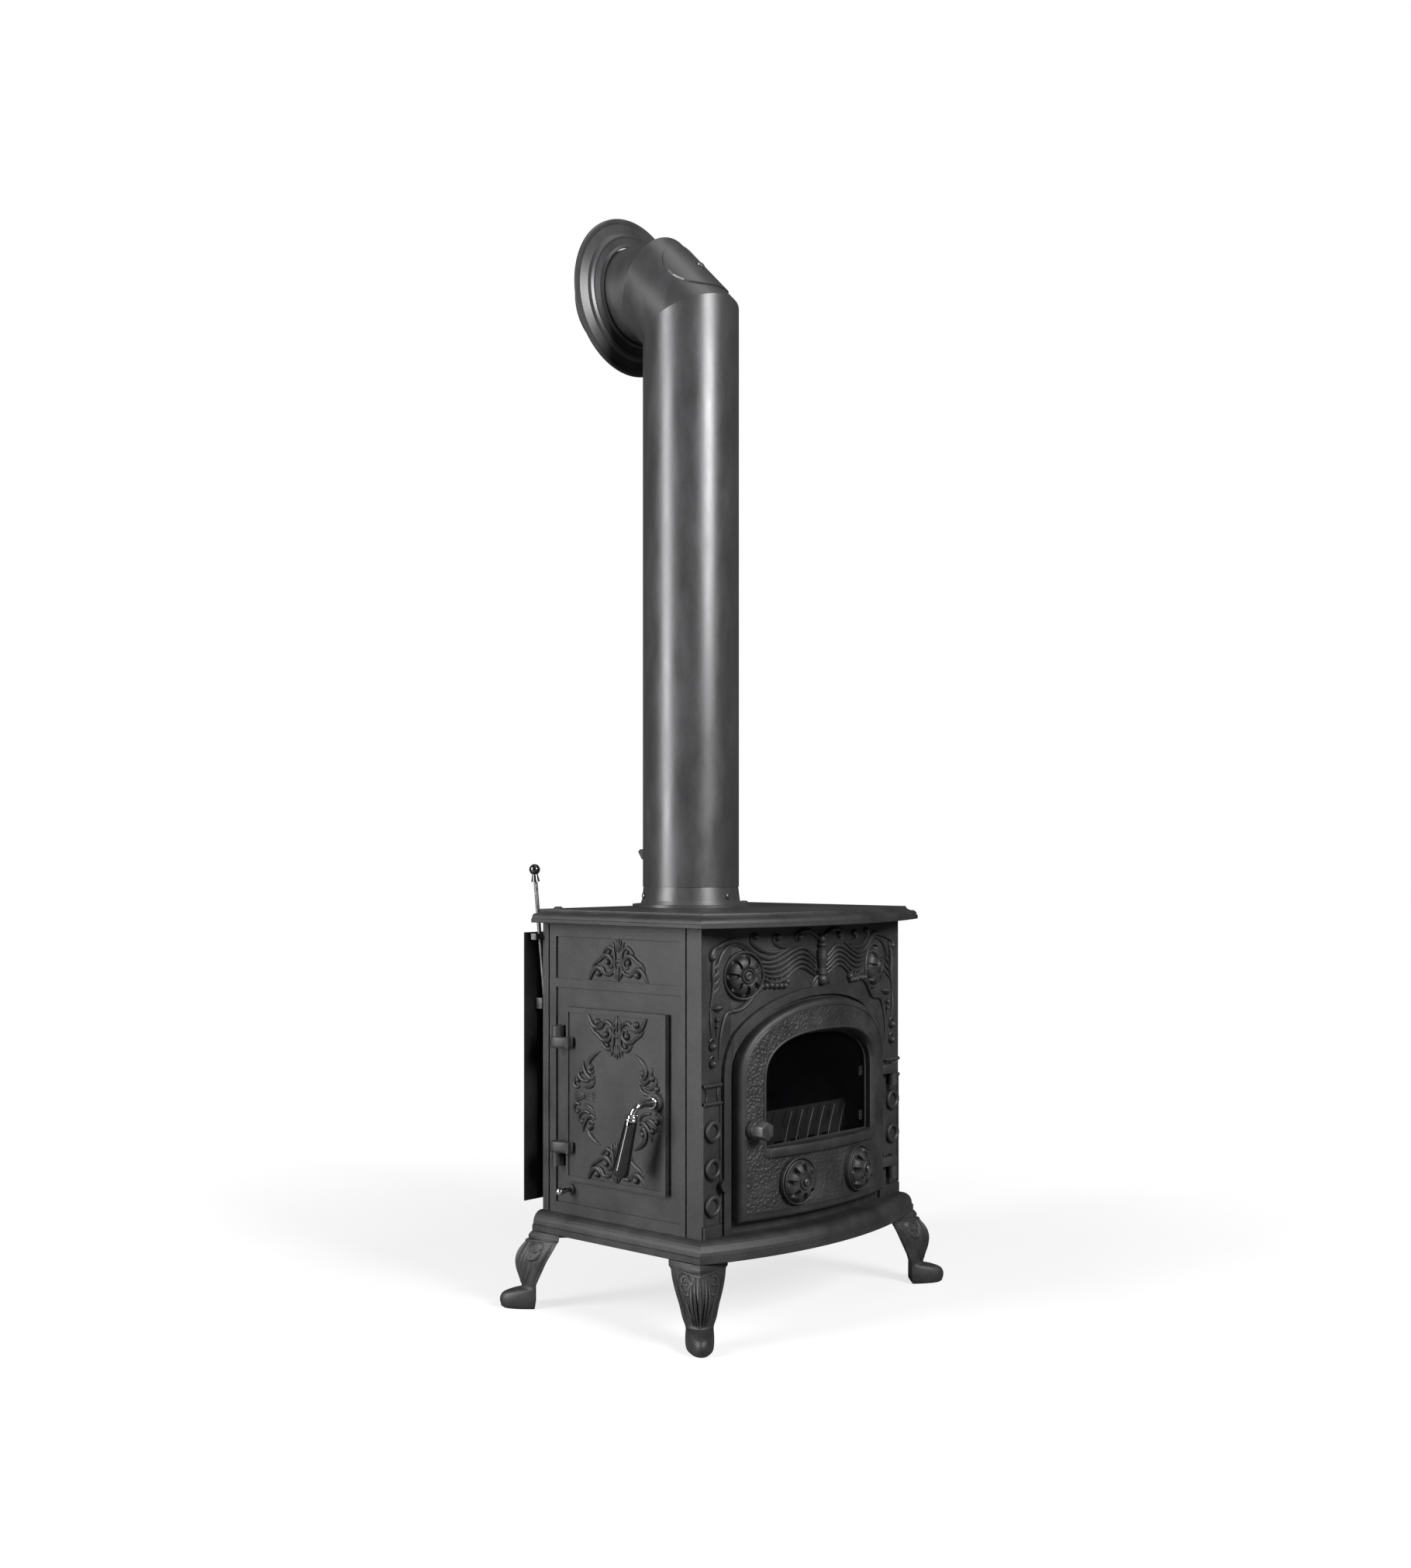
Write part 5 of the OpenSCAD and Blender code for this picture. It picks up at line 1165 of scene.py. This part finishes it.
# Lamps: place, width and height in metres, power in watts
LAMPS = {
    "key_lamp": ((-2.8, 0.9, 1.45), (0.9, 2.4), 150),
    "front_lamp": ((-0.3, -2.9, 2.0), (1.0, 1.2), 165),
    "top_lamp": ((0.2, -0.4, 3.2), (1.2, 1.2), 10),
    "low_strip": ((-1.2, 0.15, 0.25), (0.06, 0.5), 2.4),
}
LAMPS_AIM = (0, 0, 0.7)
# The world's strength for every ray, and what is added for rays off a shiny surface; the camera sees white
WORLD, WORLD_SHINE = 0.04, 0.05
# The floor's own light as the camera sees it, near and far, and the distances between which it grows
GLOW, GLOW_REACH = (0.75, 1), (0.6, 2.2)
# The camera: place, heading in degrees, lens in mm, and the share of the frame it is shifted up by
CAMERA_AT = (-2.0232, -1.7745, 0.6765)
CAMERA_HEADING = -48.27
CAMERA_LENS = 40.21
CAMERA_SHIFT = 0.043


class STOVE_OT_stage(Step, bpy.types.Operator):
    """Sets the pale floor, the plain lamps, the white surroundings and the camera"""

    bl_idname = "stove.stage"
    bl_label = "Stage"

    def execute(self, context):
        scene = context.scene
        scene.view_settings.view_transform = "Standard"
        self.floor()
        self.surroundings(scene)
        for name, (at, size, power) in LAMPS.items():
            self.lamp(name, at, size, power)
        self.camera(scene)
        return {"FINISHED"}

    def camera(self, scene):
        camera = bpy.data.cameras.new("photo_camera")
        camera.lens = CAMERA_LENS
        camera.sensor_width = 36
        camera.shift_y = CAMERA_SHIFT
        camera.clip_end = 60
        eye = bpy.data.objects.new("photo_camera", camera)
        eye.location = CAMERA_AT
        eye.rotation_euler = (math.radians(90), 0, math.radians(CAMERA_HEADING))
        scene.collection.objects.link(eye)
        scene.camera = eye

    def lamp(self, name, at, size, power):
        light = bpy.data.lights.new(name, "AREA")
        light.shape = "RECTANGLE"
        light.size, light.size_y = size
        light.energy = power
        lamp = bpy.data.objects.new(name, light)
        lamp.location = at
        lamp.rotation_euler = (Vector(LAMPS_AIM) - Vector(at)).to_track_quat("-Z", "Y").to_euler()
        bpy.context.scene.collection.objects.link(lamp)

    def floor(self):
        bm = bmesh.new()
        bmesh.ops.create_grid(bm, x_segments=8, y_segments=8, size=20)
        mesh = bpy.data.meshes.new("floor")
        bm.to_mesh(mesh)
        bm.free()
        floor = bpy.data.objects.new("floor", mesh)
        bpy.context.scene.collection.objects.link(floor)
        material, tree, at = blank(
            "pale_floor", Roughness=0.9, Specular_IOR_Level=0.1, Emission_Color=(1, 1, 1, 1)
        )
        shader = tree.nodes["Principled BSDF"]
        clouds = noise(tree, at, 0.4, 3)
        pale = tones(tree, clouds, [(0.3, (0.17, 0.17, 0.17)), (0.7, (0.19, 0.19, 0.19))])
        tree.links.new(pale, shader.inputs["Base Color"])
        far = put(tree, "VectorMath", {0: at}, operation="LENGTH").outputs["Value"]
        glow = self.only(tree, "Is Camera Ray", span(tree, far, *GLOW, *GLOW_REACH))
        tree.links.new(glow, shader.inputs["Emission Strength"])
        mesh.materials.append(material)

    def only(self, tree, rays, strength):
        """That strength for one kind of ray"""
        ray = put(tree, "LightPath").outputs[rays]
        return put(tree, "Math", {0: ray, 1: strength}, operation="MULTIPLY").outputs[0]

    def surroundings(self, scene):
        world = bpy.data.worlds.new("studio")
        scene.world = world
        world.use_nodes = True
        tree = world.node_tree
        strength = WORLD
        for rays, more in (("Is Camera Ray", 1 - WORLD), ("Is Glossy Ray", WORLD_SHINE)):
            added = {0: self.only(tree, rays, more), 1: strength}
            strength = put(tree, "Math", added, operation="ADD").outputs[0]
        background = tree.nodes["Background"]
        background.inputs["Color"].default_value = (1, 1, 1, 1)
        tree.links.new(strength, background.inputs["Strength"])


# ---- Panel and run ----

STEPS = (
    STOVE_OT_finishes,
    STOVE_OT_guard_edges,
    STOVE_OT_front_door,
    STOVE_OT_turned_parts,
    STOVE_OT_side_straps,
    STOVE_OT_side_handle,
    STOVE_OT_legs,
    STOVE_OT_front_carving,
    STOVE_OT_side_carving,
    STOVE_OT_stage,
)


class STOVE_PT_panel(bpy.types.Panel):
    """The stove's steps and settings"""

    bl_label = "Stove"
    bl_idname = "STOVE_PT_panel"
    bl_space_type = "VIEW_3D"
    bl_region_type = "UI"
    bl_category = "Stove"

    def draw(self, context):
        for group in (context.scene.stove_sizes, context.scene.stove_colours):
            for key in group.__annotations__:
                self.layout.prop(group, key)
        for step in STEPS:
            self.layout.operator(step.bl_idname)


CLASSES = (StoveSizes, StoveColours, *STEPS, STOVE_PT_panel)


def register():
    for cls in CLASSES:
        bpy.utils.register_class(cls)
    bpy.types.Scene.stove_sizes = PointerProperty(type=StoveSizes)
    bpy.types.Scene.stove_colours = PointerProperty(type=StoveColours)


def unregister():
    del bpy.types.Scene.stove_colours
    del bpy.types.Scene.stove_sizes
    for cls in reversed(CLASSES):
        bpy.utils.unregister_class(cls)


def main():
    register()
    bpy.ops.stove.finishes()
    bpy.ops.stove.guard_edges()
    bpy.ops.stove.front_door()
    bpy.ops.stove.turned_parts()
    bpy.ops.stove.side_straps()
    bpy.ops.stove.side_handle()
    bpy.ops.stove.legs()
    bpy.ops.stove.front_carving()
    bpy.ops.stove.side_carving()
    bpy.ops.stove.stage()


if __name__ == "__main__":
    main()
